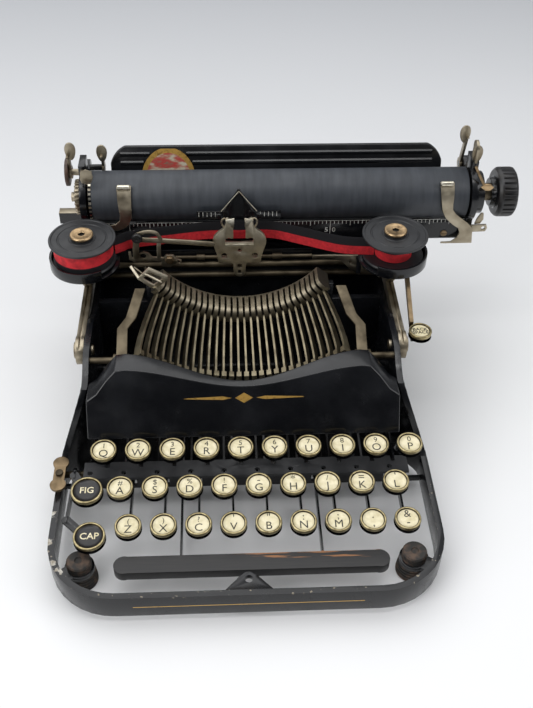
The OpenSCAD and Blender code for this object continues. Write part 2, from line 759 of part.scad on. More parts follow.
module rubber_feet() color(rubber) foot_places() difference() {
    union() {
        cylinder(h = foot_shelf_z, r1 = foot_r, r2 = foot_r - 1);
        cylinder(h = foot_h, r = foot_waist_r);
        z_rod(0, 0, foot_shelf_z + shelf_t, foot_h, foot_top_r);
    }
    for (z = [foot_shelf_z / 3, foot_shelf_z * 2 / 3, foot_h - 3]) translate([0, 0, z]) difference() {
        cylinder(h = 0.9, r = foot_r + 1);
        translate([0, 0, -1]) cylinder(h = 3, r = foot_r - 2.4);
    }
}

// The space under the rim, drawn in by the cover's thickness where asked
module cover_block(inset) intersection() {
    along(0, far) polygon(concat(
        [for (i = [0:32]) let (x = mix(-cover_half_w, cover_half_w, i / 32)) [x, rim_z(x) - inset]],
        [[cover_half_w, cover_bottom - inset], [-cover_half_w, cover_bottom - inset]]));
    across(-far / 2, far) polygon([[cover_y(0) + inset * 1.2, 0], [cover_y(far / 4) + inset * 1.2, far / 4],
        [far, far / 4], [far, 0]]);
}

module front_cover() color(black) difference() {
    intersection() {
        cover_block(0);
        linear_extrude(far) polygon(concat(
            [for (i = [0:32]) let (x = mix(-cover_half_w, cover_half_w, i / 32)) [x, lip_y(x)]],
            [[cover_half_w, 0], [-cover_half_w, 0]]));
    }
    cover_block(cover_wall);
}

// A slot for a lever through the guide's upright plate
module guide_slot(x) translate([x - lever_t / 2 - slot_gap, guide_y - 1, band_bottom + 2])
    cube([lever_t + 2 * slot_gap, guide_t + 2, guide_z - guide_t - band_bottom - 3]);

// A notch in the guide's upper edge for a back row lever
module guide_notch(x) translate([x - lever_t / 2 - slot_gap, guide_y - guide_t, guide_z - 3 * guide_t])
    cube([lever_t + 2 * slot_gap, 2 * guide_t + 1, far / 8]);

module key_guide() color(black) {
    difference() {
        union() {
            translate([-guide_left_w, guide_y, band_bottom])
                cube([guide_left_w + guide_right_w, guide_t, guide_z - band_bottom]);
            translate([-guide_left_w, guide_y + guide_t - guide_depth, guide_z - guide_t])
                cube([guide_left_w + guide_right_w, guide_depth, guide_t]);
            translate([seam_gap / 2 + frame_wall - frame_half_w, guide_y, band_bottom])
                cube([2 * (frame_half_w - frame_wall) - seam_gap, guide_t, 3]);
        }
        for (i = [row_counts[0]:len(key_names) - 1]) guide_slot(lever_x(i));
        for (x = space_arm_x) guide_slot(x);
        for (i = [0:row_counts[0] - 1]) {
            guide_notch(lever_x(i));
            z_rod(key_x(i) - key_pitch / 2, back_row_y, guide_z - guide_t - 1, far, guide_hole_r);
        }
    }
    x_rod(-wall_in + seam_gap / 2, wall_in - seam_gap / 2, fulcrum_y, fulcrum_z, fulcrum_r);
}

module segment_outline() polygon([
    [segment_out_r, -segment_back_y], [segment_in_r + 1, -segment_back_y], [segment_in_r, 4 - segment_back_y],
    [segment_in_r, -segment_front_y - 3], [segment_in_r + 2, -segment_front_y - 1],
    [segment_r + 1, -segment_front_y], [segment_out_r, -segment_front_y - 1]]);

module type_segment() color(nickel) {
    half = bar_angle(bar_count - 1) + bar_pitch * 0.7;
    difference() {
        round_basket(half) mirror([0, 1]) segment_outline();
        for (i = [0:bar_count - 1]) in_basket(bar_angle(i))
            translate([-bar_t / 2 - bar_gap, segment_front_y - 1, -segment_r - slot_depth])
                cube([bar_t + 2 * bar_gap, bar_pivot_y - segment_front_y + 1 + slot_back, far / 8]);
        round_basket(half + 1) translate([segment_r - wire_bore_r, bar_pivot_y - wire_bore_r])
            square([far / 8, 2 * wire_bore_r]);
    }
    round_basket(half) translate([segment_r, bar_pivot_y]) circle(r = wire_r, $fn = 24);
}

module typebar(fall) difference() {
    union() {
        across(-bar_t / 2, bar_t) {
            polygon(concat(
                [for (s = [0:1 / 8:1]) [bar_pivot_y - bar_reach * s, bar_half(s) - bar_r(s, fall)]],
                [for (s = [1:-1 / 8:0]) [bar_pivot_y - bar_reach * s, -bar_half(s) - bar_r(s, fall)]]));
            translate([bar_pivot_y, -segment_r]) circle(r = bar_root_h * 0.7);
        }
        translate([-slug_w / 2, bar_front_y - slug_len / 2, -bar_r(1, fall) - slug_h / 2 + slug_rise])
            cube([slug_w, slug_len, slug_h]);
    }
    x_rod(-slug_w, slug_w, bar_pivot_y, -segment_r, wire_bore_r);
}

module basket_bar(i) color(nickel) in_basket(bar_angle(i)) typebar(bar_fall(i));

module typebars() for (i = [0:bar_count - 1]) if (i != strike_bar) basket_bar(i);

module strike_typebar() basket_bar(strike_bar);

module pivot_screws() color(nickel) {
    both_sides() {
        x_rod(wall_in - 1, arm_out + seam_gap, fold_y, fold_z, fold_r);
        x_rod(arm_out + seam_gap, arm_out + seam_gap + 1.2, fold_y, fold_z, fold_r + 2);
        x_rod(hump_x - 4.5, neck_half_w - 0.5, lift_pivot_y, lift_pivot_z, lift_pin_r);
    }
    x_rod(-frame_half_w + 1, -upper_lever_x + 3, shift_pin_y, shift_pin_z, shift_pin_r);
    z_rod(lock_x, lock_y, band_top - 6, lock_z + lock_t + seam_gap, lock_pin_r);
    z_rod(lock_x, lock_y, band_top + seam_gap, lock_z - seam_gap, 2 * lock_pin_r);
    z_rod(lock_x, lock_y, lock_z + lock_t + seam_gap, lock_z + lock_t + seam_gap + 1, 2.2 * lock_pin_r);
}

module shift_lift_arms() color(nickel) both_sides() difference() {
    union() {
        x_rod(hump_x - 4, hump_x + 5, lift_pivot_y, lift_pivot_z, lift_pin_r + 1.8);
        translate([0, lift_pivot_y, lift_pivot_z]) rotate([lift_slope, 0, 0]) translate([0, 0, lift_pin_r])
            linear_extrude(lift_t) {
                translate([hump_x - 3, 0]) square([lift_w, lift_len * 0.42]);
                polygon([[hump_x - 3, lift_len * 0.42], [hump_x - 3 + lift_w, lift_len * 0.42],
                    [hump_x - 8 + lift_w, lift_len * 0.58], [hump_x - 8, lift_len * 0.58]]);
                polygon([[hump_x - 8, lift_len * 0.58], [hump_x - 8 + lift_w, lift_len * 0.58],
                    [hump_x - 13 + lift_w, lift_len], [hump_x - 13, lift_len]]);
            }
    }
    x_rod(hump_x - 6, hump_x + 7, lift_pivot_y, lift_pivot_z, lift_pin_r + running_gap);
}

// A key's metal cup, standing on the origin's top and tilted to the typist
module key_cup(d, face) difference() {
    translate([0, 0, -key_h]) cylinder(h = key_h, d = d);
    translate([0, 0, -face_t - face_sink]) cylinder(h = far / 8, d = face);
}

module key_face(d) translate([0, 0, -face_t - face_sink + running_gap])
    cylinder(h = face_t, d = d - 2 * running_gap);

module key_lever(i) difference() {
    bend = [key_y(i) + key_bend(i), lever_z(i)];
    union() {
        across(lever_x(i) - lever_t / 2, lever_t) {
            strap([fulcrum_y, fulcrum_z], bend, lever_h);
            strap(bend, [key_y(i) + 1, key_z(i) - key_h + 0.5], lever_h * 0.6);
        }
        if (lever_x(i) != key_x(i)) translate([0, 0, key_z(i) - key_h - lever_t + 0.3])
            linear_extrude(lever_t) strap([lever_x(i), key_y(i)], [key_x(i), key_y(i)], lever_h * 0.6);
        translate([key_x(i), key_y(i), key_z(i)]) rotate([key_tilt, 0, 0]) key_cup(key_d, face_d);
    }
    x_rod(lever_x(i) - lever_t, lever_x(i) + lever_t, fulcrum_y, fulcrum_z, fulcrum_r + running_gap);
}

module letter_key(i) {
    color(nickel) key_lever(i);
    color(cream) translate([key_x(i), key_y(i), key_z(i)]) rotate([key_tilt, 0, 0]) key_face(face_d);
}

module space_bar() {
    mid_x = (space_arm_x[0] + space_arm_x[1]) / 2;
    rear_y = space_y + space_depth / 2;
    arm_z = space_z - space_t / 2;
    color(black) translate([mid_x, space_y, space_z - space_t]) linear_extrude(space_t)
        strap([-space_len / 2 + space_depth / 2, 0], [space_len / 2 - space_depth / 2, 0], space_depth);
    color(nickel) for (x = space_arm_x) difference() {
        across(x - lever_t / 2, lever_t) difference() {
            strap([fulcrum_y, fulcrum_z], [rear_y, arm_z], lever_h);
            translate([rear_y - 1 - far, 0]) square(far);
        }
        x_rod(x - lever_t, x + lever_t, fulcrum_y, fulcrum_z, fulcrum_r + running_gap);
    }
}

// A shift key on a lever of its own that comes round from the left side
module shift_key(x, y, z, lever_x) {
    place = [-x, y, z];
    carry_z = z - key_h - lever_t + 0.3;
    turn_y = y + shift_turn;
    color(nickel) difference() {
        union() {
            across(-lever_x - lever_t / 2, lever_t) {
                strap([shift_pin_y, shift_pin_z], [turn_y, carry_z + lever_t / 2], lever_h);
                translate([shift_pin_y, shift_pin_z]) circle(r = shift_pin_r + 1.8);
            }
            translate([0, 0, carry_z]) linear_extrude(lever_t) strap([-lever_x, turn_y], [-x, y], lever_h);
            translate(place) rotate([key_tilt, 0, 0]) key_cup(shift_key_d, shift_key_d - 2.5);
        }
        x_rod(-lever_x - lever_t, -lever_x + lever_t, shift_pin_y, shift_pin_z, shift_pin_r + running_gap);
    }
    color(black) translate(place) rotate([key_tilt, 0, 0]) key_face(shift_key_d - 2.5);
}

module upper_shift_key() shift_key(upper_shift_x, upper_shift_y, upper_shift_z, upper_lever_x);

module lower_shift_key() shift_key(lower_shift_x, lower_shift_y, lower_shift_z, lower_lever_x);

module shift_lock() color(nickel) translate([lock_x, lock_y, lock_z]) difference() {
    linear_extrude(lock_t) {
        strap([0, -lock_len / 2 + lock_w / 2], [0, lock_len / 2 - lock_w / 2], lock_w * 0.72);
        for (s = [-1, 1]) translate([0, s * (lock_len - lock_w) / 2]) circle(d = lock_w);
    }
    translate([0, 0, -1]) cylinder(h = far / 8, r = lock_pin_r + running_gap);
}

module arm_outline() {
    strap([fold_y, fold_z], [arm_rear_y, fold_z + 1], arm_w);
    translate([fold_y, fold_z]) circle(d = arm_w + 4);
    polygon([[arm_rear_y - 16, fold_z], [arm_rear_y + 5, fold_z], [rail_y + 7, arm_top_z],
        [spool_y - 12, arm_top_z], [spool_y - 12, arm_top_z - 5], [rail_y - 6, rail_z - rail_step - 5]]);
    strap([arm_rear_y + 2, post_foot_z + 4], [post_y, post_foot_z - 5], 7);
    translate([post_y - 7, post_foot_z - 8]) square([14, 8]);
}

module fold_frame() color(nickel) {
    both_sides() difference() {
        union() {
            across(arm_in, arm_t) arm_outline();
            z_rod(arm_mid, post_y, post_foot_z - 2, post_top_z, post_r);
        }
        x_rod(0, far, fold_y, fold_z, fold_r + running_gap);
        translate([arm_mid - arm_groove / 2, fold_y - arm_w, fold_z + arm_w / 2 - 1])
            cube([arm_groove, arm_rear_y - fold_y, far]);
    }
    x_rod(arm_out - 1, back_key_x - 2, back_pin_y, back_pin_z, back_pin_r);
    for (z = [rail_z, rail_z - rail_step])
        x_rod(-arm_in + seam_gap / 2, arm_in - seam_gap / 2, rail_y, z, rail_r);
    color(black) translate([-arm_in + seam_gap / 2, rail_y + rail_r / 4, rear_wall_z + apron_gap])
        cube([2 * arm_in - seam_gap, apron_t, rail_z - rear_wall_z - apron_gap]);
}

module spool_cups() color(black) both_sides() translate([spool_x, spool_y, cup_floor_z]) {
    difference() {
        cylinder(h = cup_h, r = cup_r);
        translate([0, 0, cup_wall]) cylinder(h = cup_h, r = cup_r - cup_wall);
        translate([-far, ribbon_y - spool_y - far - 12, cup_wall]) cube([far - cup_r * 0.55, far, cup_h]);
    }
    cylinder(h = spool_top_z - cup_floor_z, r = spool_post_r);
}

module spool(roll_r) {
    color(black) difference() {
        union() {
            z_rod(0, 0, spool_top_z - disc_t, spool_top_z, spool_r);
            z_rod(0, 0, spool_low_z, spool_low_z + disc_t, cup_r - cup_wall - 0.8);
            z_rod(0, 0, spool_low_z, spool_top_z, spool_post_r + 3);
        }
        z_rod(0, 0, 0, far, spool_post_r + running_gap);
    }
    color(red) difference() {
        z_rod(0, 0, ribbon_z, ribbon_z + ribbon_w, roll_r);
        z_rod(0, 0, 0, far, spool_post_r + 3 + running_gap);
    }
    color(brass) z_rod(0, 0, spool_top_z + running_gap, spool_top_z + nut_h, nut_r);
}

module spool_left() translate([-spool_x, spool_y, 0]) spool(full_roll_r);

module spool_right() translate([spool_x, spool_y, 0]) spool(small_roll_r);

// The ribbon's run from spool to spool, as straight stretches seen from above
function ribbon_route() = [
    [-spool_x + full_roll_r + 0.6, spool_y + 3], [-spool_x + full_roll_r + 11, spool_y + 9],
    [-type_guide_w / 2 - 4, ribbon_y], [type_guide_w / 2 + 4, ribbon_y],
    [spool_x - small_roll_r - 21, spool_y], [spool_x - small_roll_r - 0.8, spool_y - 2]];

module ribbon() color(red) translate([0, 0, ribbon_z]) linear_extrude(ribbon_w) {
    route = ribbon_route();
    for (i = [0:len(route) - 2]) strap(route[i], route[i + 1], ribbon_t);
}

module type_guide() {
    half = type_guide_w / 2;
    slot = type_slot_w / 2;
    tongue = tongue_w / 2;
    low = type_guide_low_z;
    mid = (low + type_guide_top_z) / 2;
    back_y = type_guide_y + type_guide_t;
    card_y = ribbon_y + ribbon_t / 2 + card_gap;
    card_z = ribbon_z + ribbon_w + 1;
    color(nickel) difference() {
        union() {
            along(type_guide_y, type_guide_t) difference() {
                polygon(mirrored([[tongue, low + tongue], [tongue, low + 10], [half - 3.5, low + 10.5],
                    [half - 2.5, low + 17], [half, mid + 3], [half, mid + 6], [half - 2, mid + 10.5],
                    [half - 7, mid + 15], [half - 8.5, mid + 18.5], [half - 7.5, type_guide_top_z - 1],
                    [half - 9, type_guide_top_z]]));
                translate([0, low + tongue]) circle(r = tongue);
                translate([-slot, mid - 2]) square([2 * slot, far]);
                translate([-half + 5, mid - 1]) square([2 * half - 10, 4]);
                for (s = [-1, 1]) translate([s * (half - 6), low + 13]) circle(r = 2);
            }
            translate([1 - tongue, back_y - overlap, rail_z - rail_r])
                cube([2 * tongue - 2, rail_y - rail_r - back_y - running_gap, 2 * rail_r]);
        }
        translate([-slot, type_guide_y - 1, mid - 2]) cube([2 * slot, 4, far]);
    }
    color(black) translate([0, card_y, 0]) along(0, card_t) {
        for (x = [-card_half_w, slot + 2]) translate([x, card_z]) square([card_half_w - slot - 2, 6]);
        for (s = [-1, 1]) strap([s * (slot + 6), card_z + 3], [0, card_peak_z], 2);
    }
    color(black) for (s = [-1, 1]) translate([s * (half - 4) - 1.5, back_y, card_z + 1])
        cube([3, card_y - back_y, 3]);
}

module backspace_key() {
    place = [back_key_x, back_key_y, back_key_z];
    color(nickel) difference() {
        union() {
            across(back_key_x - 5.5, 2.4)
                strap([back_pin_y, back_pin_z], [back_key_y, back_key_z - key_h - 1], 4);
            translate([back_key_x - 5.5, back_key_y - 2, back_key_z - key_h - 3]) cube([7, 4, 3.4]);
            translate(place) key_cup(back_key_d, back_key_d - 2.5);
        }
        x_rod(0, far, back_pin_y, back_pin_z, back_pin_r + running_gap);
    }
    color(cream) translate(place) key_face(back_key_d - 2.5);
}

module carriage_bed() color(black) difference() {
    union() {
        translate([-bed_half_w, post_y - bed_depth / 2, bed_low_z])
            cube([2 * bed_half_w, bed_depth, bed_top_z - bed_low_z]);
        translate([-bed_half_w, post_y - bed_rail_w / 2, bed_top_z - overlap])
            cube([2 * bed_half_w, bed_rail_w, bed_rail_h]);
        both_sides() translate([arm_in - 2, post_y - 7, bed_top_z - bed_lug_h])
            cube([bed_half_w - arm_in + 2, 14, bed_lug_h - 1]);
        z_rod(-drum_x, post_y, drum_low_z - drum_pin_out, bed_low_z + 1, drum_pin_r);
    }
    both_sides() z_rod(arm_mid, post_y, 0, bed_top_z, post_r + running_gap);
}

module mainspring_drum() color(brass) difference() {
    z_rod(-drum_x, post_y, drum_low_z, bed_low_z - drum_gap, drum_r);
    z_rod(-drum_x, post_y, 0, far, drum_pin_r + running_gap);
}

module end_plate(x) across(x, end_t) difference() {
    union() {
        translate([platen_y, platen_z]) circle(r = platen_r + 1.5);
        translate([platen_y - end_front, runner_z]) square([end_front + end_back, platen_z - runner_z]);
        translate([platen_y - horn_w / 2 + 3, platen_z]) square([horn_w, horn_h]);
        strap([platen_y, platen_z], paper_pin, 10);
    }
    translate([platen_y, platen_z]) circle(r = shaft_r + running_gap);
    translate([feed_y, feed_z]) circle(r = feed_shaft_r + running_gap);
    translate([platen_y - bed_rail_w, 0]) square([2 * bed_rail_w + 2, runner_z + bed_rail_h + slide_gap]);
}

module carriage_frame() color(black) {
    width = right_plate_x - left_plate_x - end_t;
    difference() {
        translate([left_plate_x + end_t - overlap, post_y - bed_depth / 2 + 2, runner_z])
            cube([width + 2 * overlap, bed_depth - 4, runner_h]);
        translate([-far, post_y - bed_rail_w / 2 - slide_gap, 0])
            cube([2 * far, bed_rail_w + 2 * slide_gap, bed_top_z + bed_rail_h + slide_gap]);
    }
    end_plate(left_plate_x);
    end_plate(right_plate_x);
    difference() {
        x_rod(right_plate_x + 1, right_plate_x + end_t + guard_ring_len, platen_y, platen_z, guard_ring_d / 2);
        x_rod(right_plate_x, right_plate_x + far / 8, platen_y, platen_z, knob_neck_d / 2 + guard_gap);
    }
    translate([left_plate_x + end_t - overlap, platen_y + 13, runner_top_z - 4])
        cube([width + 2 * overlap, table_y + table_t - platen_y - 13, 4]);
    translate([left_plate_x - 18, platen_y + 6, runner_top_z + 1]) cube([18 + overlap, 6, 8]);
    x_rod(button_x, left_plate_x + 1, line_pin[0], line_pin[1], hand_pin_r);
    x_rod(button_x - 2, button_x, line_pin[0], line_pin[1], hand_button_r);
    x_rod(left_plate_x + 1, paper_lever_x + hand_lever_t, paper_pin[0], paper_pin[1], hand_pin_r);
    x_rod(right_plate_x - release_stand, right_plate_x + 1, release_pin[0], release_pin[1], hand_pin_r);
    across(right_plate_x + 1, hand_lever_t)
        strap([platen_y, platen_z + 22], [platen_y, platen_z + 32], hand_tip_w);
}

// The paper table's section, a curved strip behind the platen
function table_curve(offset) = [for (i = [0:8])
    [table_y + offset + table_lean * pow(i / 8, 2), mix(table_low_z, table_top_z, i / 8)]];

module paper_table() color(black) {
    left = platen_left + table_inset;
    right = platen_right - table_inset;
    intersection() {
        across(left, right - left) polygon(concat(table_curve(0), reversed(table_curve(table_t))));
        along(0, far) {
            translate([left, 0]) square([right - left, table_top_z - table_corner_r]);
            strap([left + table_corner_r, table_top_z - table_corner_r],
                [right - table_corner_r, table_top_z - table_corner_r], 2 * table_corner_r);
        }
    }
    for (x = [left + left_leg_in, right - right_leg_in - table_leg_w]) translate([x, table_y, runner_top_z])
        cube([table_leg_w, table_t, table_low_z - runner_top_z]);
}

module line_scale() color(black) difference() {
    union() {
        translate([left_plate_x + end_t + seam_gap / 2, scale_y, scale_low_z])
            cube([right_plate_x - left_plate_x - end_t - seam_gap, scale_t, scale_top_z - scale_low_z]);
        for (x = [left_plate_x + end_t + seam_gap / 2, right_plate_x - seam_gap / 2 - scale_lug_w])
            translate([x, scale_y, scale_low_z])
                cube([scale_lug_w, platen_y - end_front - scale_y + scale_lug_in, scale_lug_h]);
    }
    for (x = finger_x)
        translate([x - finger_w / 2 - 1, scale_y - 1, finger_pin[1] - finger_pin_r - seam_gap])
            cube([finger_w + 2, 4, far]);
}

// A spring finger that follows the platen's front
module paper_finger(x) across(x - finger_w / 2, finger_w) translate([platen_y, platen_z]) intersection() {
    difference() {
        circle(r = finger_r + finger_t, $fn = 96);
        circle(r = finger_r, $fn = 96);
    }
    polygon([[0, 0], far * [cos(finger_top), sin(finger_top)], [-far, 0],
        far * [cos(finger_foot), sin(finger_foot)]]);
}

module paper_fingers() color(nickel) {
    for (x = finger_x) {
        paper_finger(x);
        x_rod(x - finger_w / 2, x + finger_w / 2, finger_pin[0], finger_pin[1], finger_pin_r);
    }
}

module platen() {
    color(rubber) difference() {
        x_rod(platen_left, platen_right, platen_y, platen_z, platen_r);
        x_rod(platen_left - 1, platen_right + 1, platen_y, platen_z, shaft_r + running_gap);
    }
    color(nickel) x_rod(left_plate_x - 7, knob_x + knob_len - 3, platen_y, platen_z, shaft_r);
    color(nickel) difference() {
        x_rod(left_plate_x - 4, left_plate_x - 1, platen_y, platen_z, platen_r - 5);
        x_rod(left_plate_x - 5, left_plate_x, platen_y, platen_z, shaft_r + running_gap);
        for (a = [0:15:345]) translate([left_plate_x - 5, platen_y, platen_z]) rotate([a, 0, 0])
            translate([0, platen_r - 6.5, -0.8]) cube([5, 4, 1.6]);
    }
}

module platen_knob() color(black) difference() {
    union() {
        x_rod(knob_x + 3, knob_x + knob_len, platen_y, platen_z, knob_d / 2);
        x_rod(knob_x - knob_gap + 2, knob_x + 3 + overlap, platen_y, platen_z, knob_neck_d / 2);
    }
    x_rod(0, knob_x + knob_len - 3 + seam_gap, platen_y, platen_z, shaft_r + running_gap);
    for (i = [0:knob_ribs - 1]) translate([knob_x + 6, platen_y, platen_z])
        rotate([i * 360 / knob_ribs, 0, 0]) translate([0, knob_d / 2 - 0.8, -0.7]) cube([knob_len, 3, 1.4]);
}

module feed_roller() {
    color(nickel) x_rod(left_plate_x + 0.5, right_plate_x + end_t - 0.5, feed_y, feed_z, feed_shaft_r);
    roll = platen_len / 4;
    first_x = platen_left + 12;
    step = roll + 10;
    color(rubber) for (i = [0:2]) difference() {
        x_rod(first_x + i * step, first_x + i * step + roll, feed_y, feed_z, feed_r);
        x_rod(-far, far, feed_y, feed_z, feed_shaft_r + running_gap);
    }
}

// A hand lever with an oval tip, drawn in Y and Z and turning on a pin
module hand_lever(x, pin, tip) color(nickel) difference() {
    across(x, hand_lever_t) {
        strap(pin, tip, hand_lever_w);
        translate(tip) circle(d = hand_tip_w);
        translate(pin) circle(r = hand_pin_r + 2);
    }
    x_rod(-far, far, pin[0], pin[1], hand_pin_r + running_gap);
}

module line_space_lever()
    hand_lever(left_plate_x - lever_stand, line_pin, [platen_y - 1, space_lever_tip_z]);

module carriage_release()
    hand_lever(right_plate_x - release_stand, release_pin, [platen_y + 13, release_tip_z]);

module paper_release() hand_lever(paper_lever_x, paper_pin, [platen_y + 16, paper_lever_tip_z]);

module placed() translate([-origin_x, -origin_y, 0]) children();

placed() base_frame();
placed() front_cover();
placed() rubber_feet();
placed() key_guide();
placed() type_segment();
placed() typebars();
placed() strike_typebar();
placed() pivot_screws();
placed() shift_lift_arms();
for (i = [0:len(key_names) - 1]) placed() letter_key(i);
placed() space_bar();
placed() upper_shift_key();
placed() lower_shift_key();
placed() shift_lock();
placed() fold_frame();
placed() spool_cups();
placed() type_guide();
placed() ribbon();
placed() spool_left();
placed() spool_right();
placed() backspace_key();
placed() carriage_bed();
placed() mainspring_drum();
placed() carriage_frame();
placed() paper_table();
placed() line_scale();
placed() paper_fingers();
placed() platen();
placed() platen_knob();
placed() feed_roller();
placed() line_space_lever();
placed() carriage_release();
placed() paper_release();
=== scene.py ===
"""Looks of a folding portable typewriter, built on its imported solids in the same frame, in metres."""

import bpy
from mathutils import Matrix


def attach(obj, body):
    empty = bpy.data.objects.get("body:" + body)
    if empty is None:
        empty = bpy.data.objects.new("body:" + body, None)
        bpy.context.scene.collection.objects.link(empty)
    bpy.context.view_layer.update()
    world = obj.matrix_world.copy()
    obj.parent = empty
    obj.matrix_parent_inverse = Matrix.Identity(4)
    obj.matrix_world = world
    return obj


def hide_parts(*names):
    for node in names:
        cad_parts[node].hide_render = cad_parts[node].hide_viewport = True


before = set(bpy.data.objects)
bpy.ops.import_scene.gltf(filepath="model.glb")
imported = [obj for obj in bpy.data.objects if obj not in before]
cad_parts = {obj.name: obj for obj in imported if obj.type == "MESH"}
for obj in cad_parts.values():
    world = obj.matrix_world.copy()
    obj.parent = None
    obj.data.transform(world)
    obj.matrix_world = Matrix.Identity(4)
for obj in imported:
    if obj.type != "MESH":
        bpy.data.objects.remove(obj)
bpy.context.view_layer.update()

import math

import bpy
from bpy.props import FloatProperty, FloatVectorProperty, PointerProperty
from mathutils import Matrix, Vector

bl_info = {
    "name": "Folding typewriter",
    "version": (1, 0, 0),
    "blender": (4, 5, 0),
    "location": "View3D > Sidebar > Typewriter",
    "description": "Dresses the solids of a folding portable typewriter",
    "category": "Object",
}

MM = 0.001
# The machine is measured from the type basket's middle plane, the front face and the table
BASKET_X, FRONT_Y = 30.0, 133.5
PLATEN_Y, PLATEN_Z, PLATEN_R = 235.0, 111.0, 16.0
PLATEN_LEFT, PLATEN_RIGHT = -92.5, 144.5
SEGMENT_Z, BARS, BAR_STEP = 127.0, 28, 3.5  # height of the segment's axis, typebars, degrees between them
SPOOL_X, SPOOL_Y, RIBBON_Z = 95.0, 196.0, 92.6
SCALE_Y = 221.4  # front of the line scale
KEY_TILT = 5  # degrees
FINE_EDGE = 0.2  # rounding of the small plates
COATING_IOR = 1.5  # paint, rubber, wood and celluloid

LEGENDS = {
    "key_q": "1Q", "key_w": "2W", "key_e": "3E", "key_r": "4R", "key_t": "5T",
    "key_y": "6Y", "key_u": "7U", "key_i": "8I", "key_o": "9O", "key_p": "0P",
    "key_a": "#A", "key_s": "$S", "key_d": "%D", "key_f": "!F", "key_g": "-G",
    "key_h": "*H", "key_j": "/J", "key_k": "=K", "key_l": "'L",
    "key_z": "(Z", "key_x": ")X", "key_c": "?C", "key_v": "'V", "key_b": "\"B",
    "key_n": ":N", "key_m": ";M", "key_stop": ".,", "key_and": "&-",
}


def at(x, y, z):
    """A place on the machine, given in millimetres, in the shared frame."""
    return Vector((x - BASKET_X, y - FRONT_Y, z)) * MM


def placed(x, y, z, axis=None):
    """That place as a matrix, with Z turned to the typist about X, or to the typist's right about Y."""
    turn = Matrix.Rotation(math.pi / 2, 4, axis) if axis else Matrix()
    return Matrix.Translation(at(x, y, z)) @ turn


def facing(y):
    """Stands a plate drawn in X and Z upright, its back at that depth."""
    return placed(0, y, 0) @ Matrix(((1, 0, 0, 0), (0, 0, -1, 0), (0, 1, 0, 0), (0, 0, 0, 1)))


def sideways(x):
    """Stands a plate drawn in Y and Z across the machine, its left face at that place."""
    return placed(x, 0, 0) @ Matrix(((0, 0, 1, 0), (1, 0, 0, 0), (0, 1, 0, 0), (0, 0, 0, 1)))


def linear(code):
    """Linear colour of an sRGB hex value."""
    parts = [int(code[i:i + 2], 16) / 255 for i in (1, 3, 5)]
    return tuple(p / 12.92 if p <= 0.04045 else ((p + 0.055) / 1.055) ** 2.4 for p in parts)


def length(text, millimetres):
    return FloatProperty(name=text, default=millimetres * MM, min=0, unit="LENGTH", precision=5)


def colour(text, code):
    return FloatVectorProperty(name=text, default=linear(code), subtype="COLOR", min=0, max=1)


class TypewriterSizes(bpy.types.PropertyGroup):
    """Sizes of the pieces that the scene adds"""

    key_pitch: length("Spacing of the keys along a row", 19.05)
    row_step: length("Distance between two key rows", 19.0)
    row_drop: length("Fall from one key row to the next", 9.5)
    key_radius: length("Outer radius of a letter key's ring", 7.35)
    shift_radius: length("Outer radius of a shift key's ring", 8.7)
    back_radius: length("Outer radius of the backspace key's ring", 7.0)
    key_height: length("Height of a key's cup", 4.5)
    face_sink: length("Depth of a key's face under its ring", 0.9)
    letter: length("Height of a key's letter", 4.8)
    mark: length("Height of a key's upper mark", 3.3)
    casting_edge: length("Rounding along the edges of the castings", 0.7)
    plate_edge: length("Rounding along the edges of sheet metal", 0.25)
    ribbon_width: length("Width of the inked ribbon", 12.7)
    ribbon_thickness: length("Thickness of the inked ribbon", 0.15)
    tick_pitch: length("Spacing of the marks on the line scale", 2.54)
    tick_width: length("Width of a mark on the scales", 0.4)


class TypewriterColours(bpy.types.PropertyGroup):
    """Colours of the finishes"""

    lacquer: colour("Black baked lacquer", "#0b0c0f")
    worn_lacquer: colour("Lacquer rubbed dull", "#1c1d20")
    dull_black: colour("Dull black of the spools", "#2b2c2e")
    primer: colour("Primer where the lacquer has chipped", "#d3d1ca")
    nickel: colour("Aged nickel plate", "#b4aa96")
    tarnish: colour("Brown tarnish on nickel", "#7f7461")
    bright_nickel: colour("Nickel plate that is still bright", "#d8d3c2")
    steel: colour("Typebar steel", "#a2987f")
    brass: colour("Brass of the thumb nuts", "#bda27d")
    bronze: colour("Dark bronze", "#76624a")
    cream: colour("Yellowed card of the key faces", "#e4dab8")
    ink: colour("Black printing ink", "#17150f")
    ribbon_red: colour("Red half of the ribbon", "#dc2b34")
    ribbon_black: colour("Black half of the ribbon", "#141318")
    platen: colour("Aged rubber of the platen", "#2c3036")
    rubber: colour("Rubber of the feet", "#2a2826")
    worn_wood: colour("Wood where the black stain is worn", "#8a5c34")
    gold: colour("Gold transfer paint", "#c29a4e")
    white: colour("White paint of the scales", "#d8d8d2")
    floor: colour("Pale table", "#e6e7e7")
    far_floor: colour("The table's shaded far end", "#b2b4b8")


def sizes():
    return bpy.context.scene.typewriter_sizes


def tint(code):
    """A socket's colour, from a hex value, the name of a colour property or a grey."""
    if not isinstance(code, str):
        return (code, code, code, 1.0)
    found = linear(code) if code.startswith("#") else getattr(bpy.context.scene.typewriter_colours, code)
    return (*found, 1.0)


# Finishes


def add_node(tree, kind, inputs=(), **settings):
    """Adds a shader node, sets its options and fills or links its inputs."""
    made = tree.nodes.new(kind)
    for key, value in settings.items():
        setattr(made, key, value)
    for socket, value in dict(inputs).items():
        if isinstance(value, bpy.types.NodeSocket):
            tree.links.new(value, made.inputs[socket])
        else:
            made.inputs[socket].default_value = value
    return made


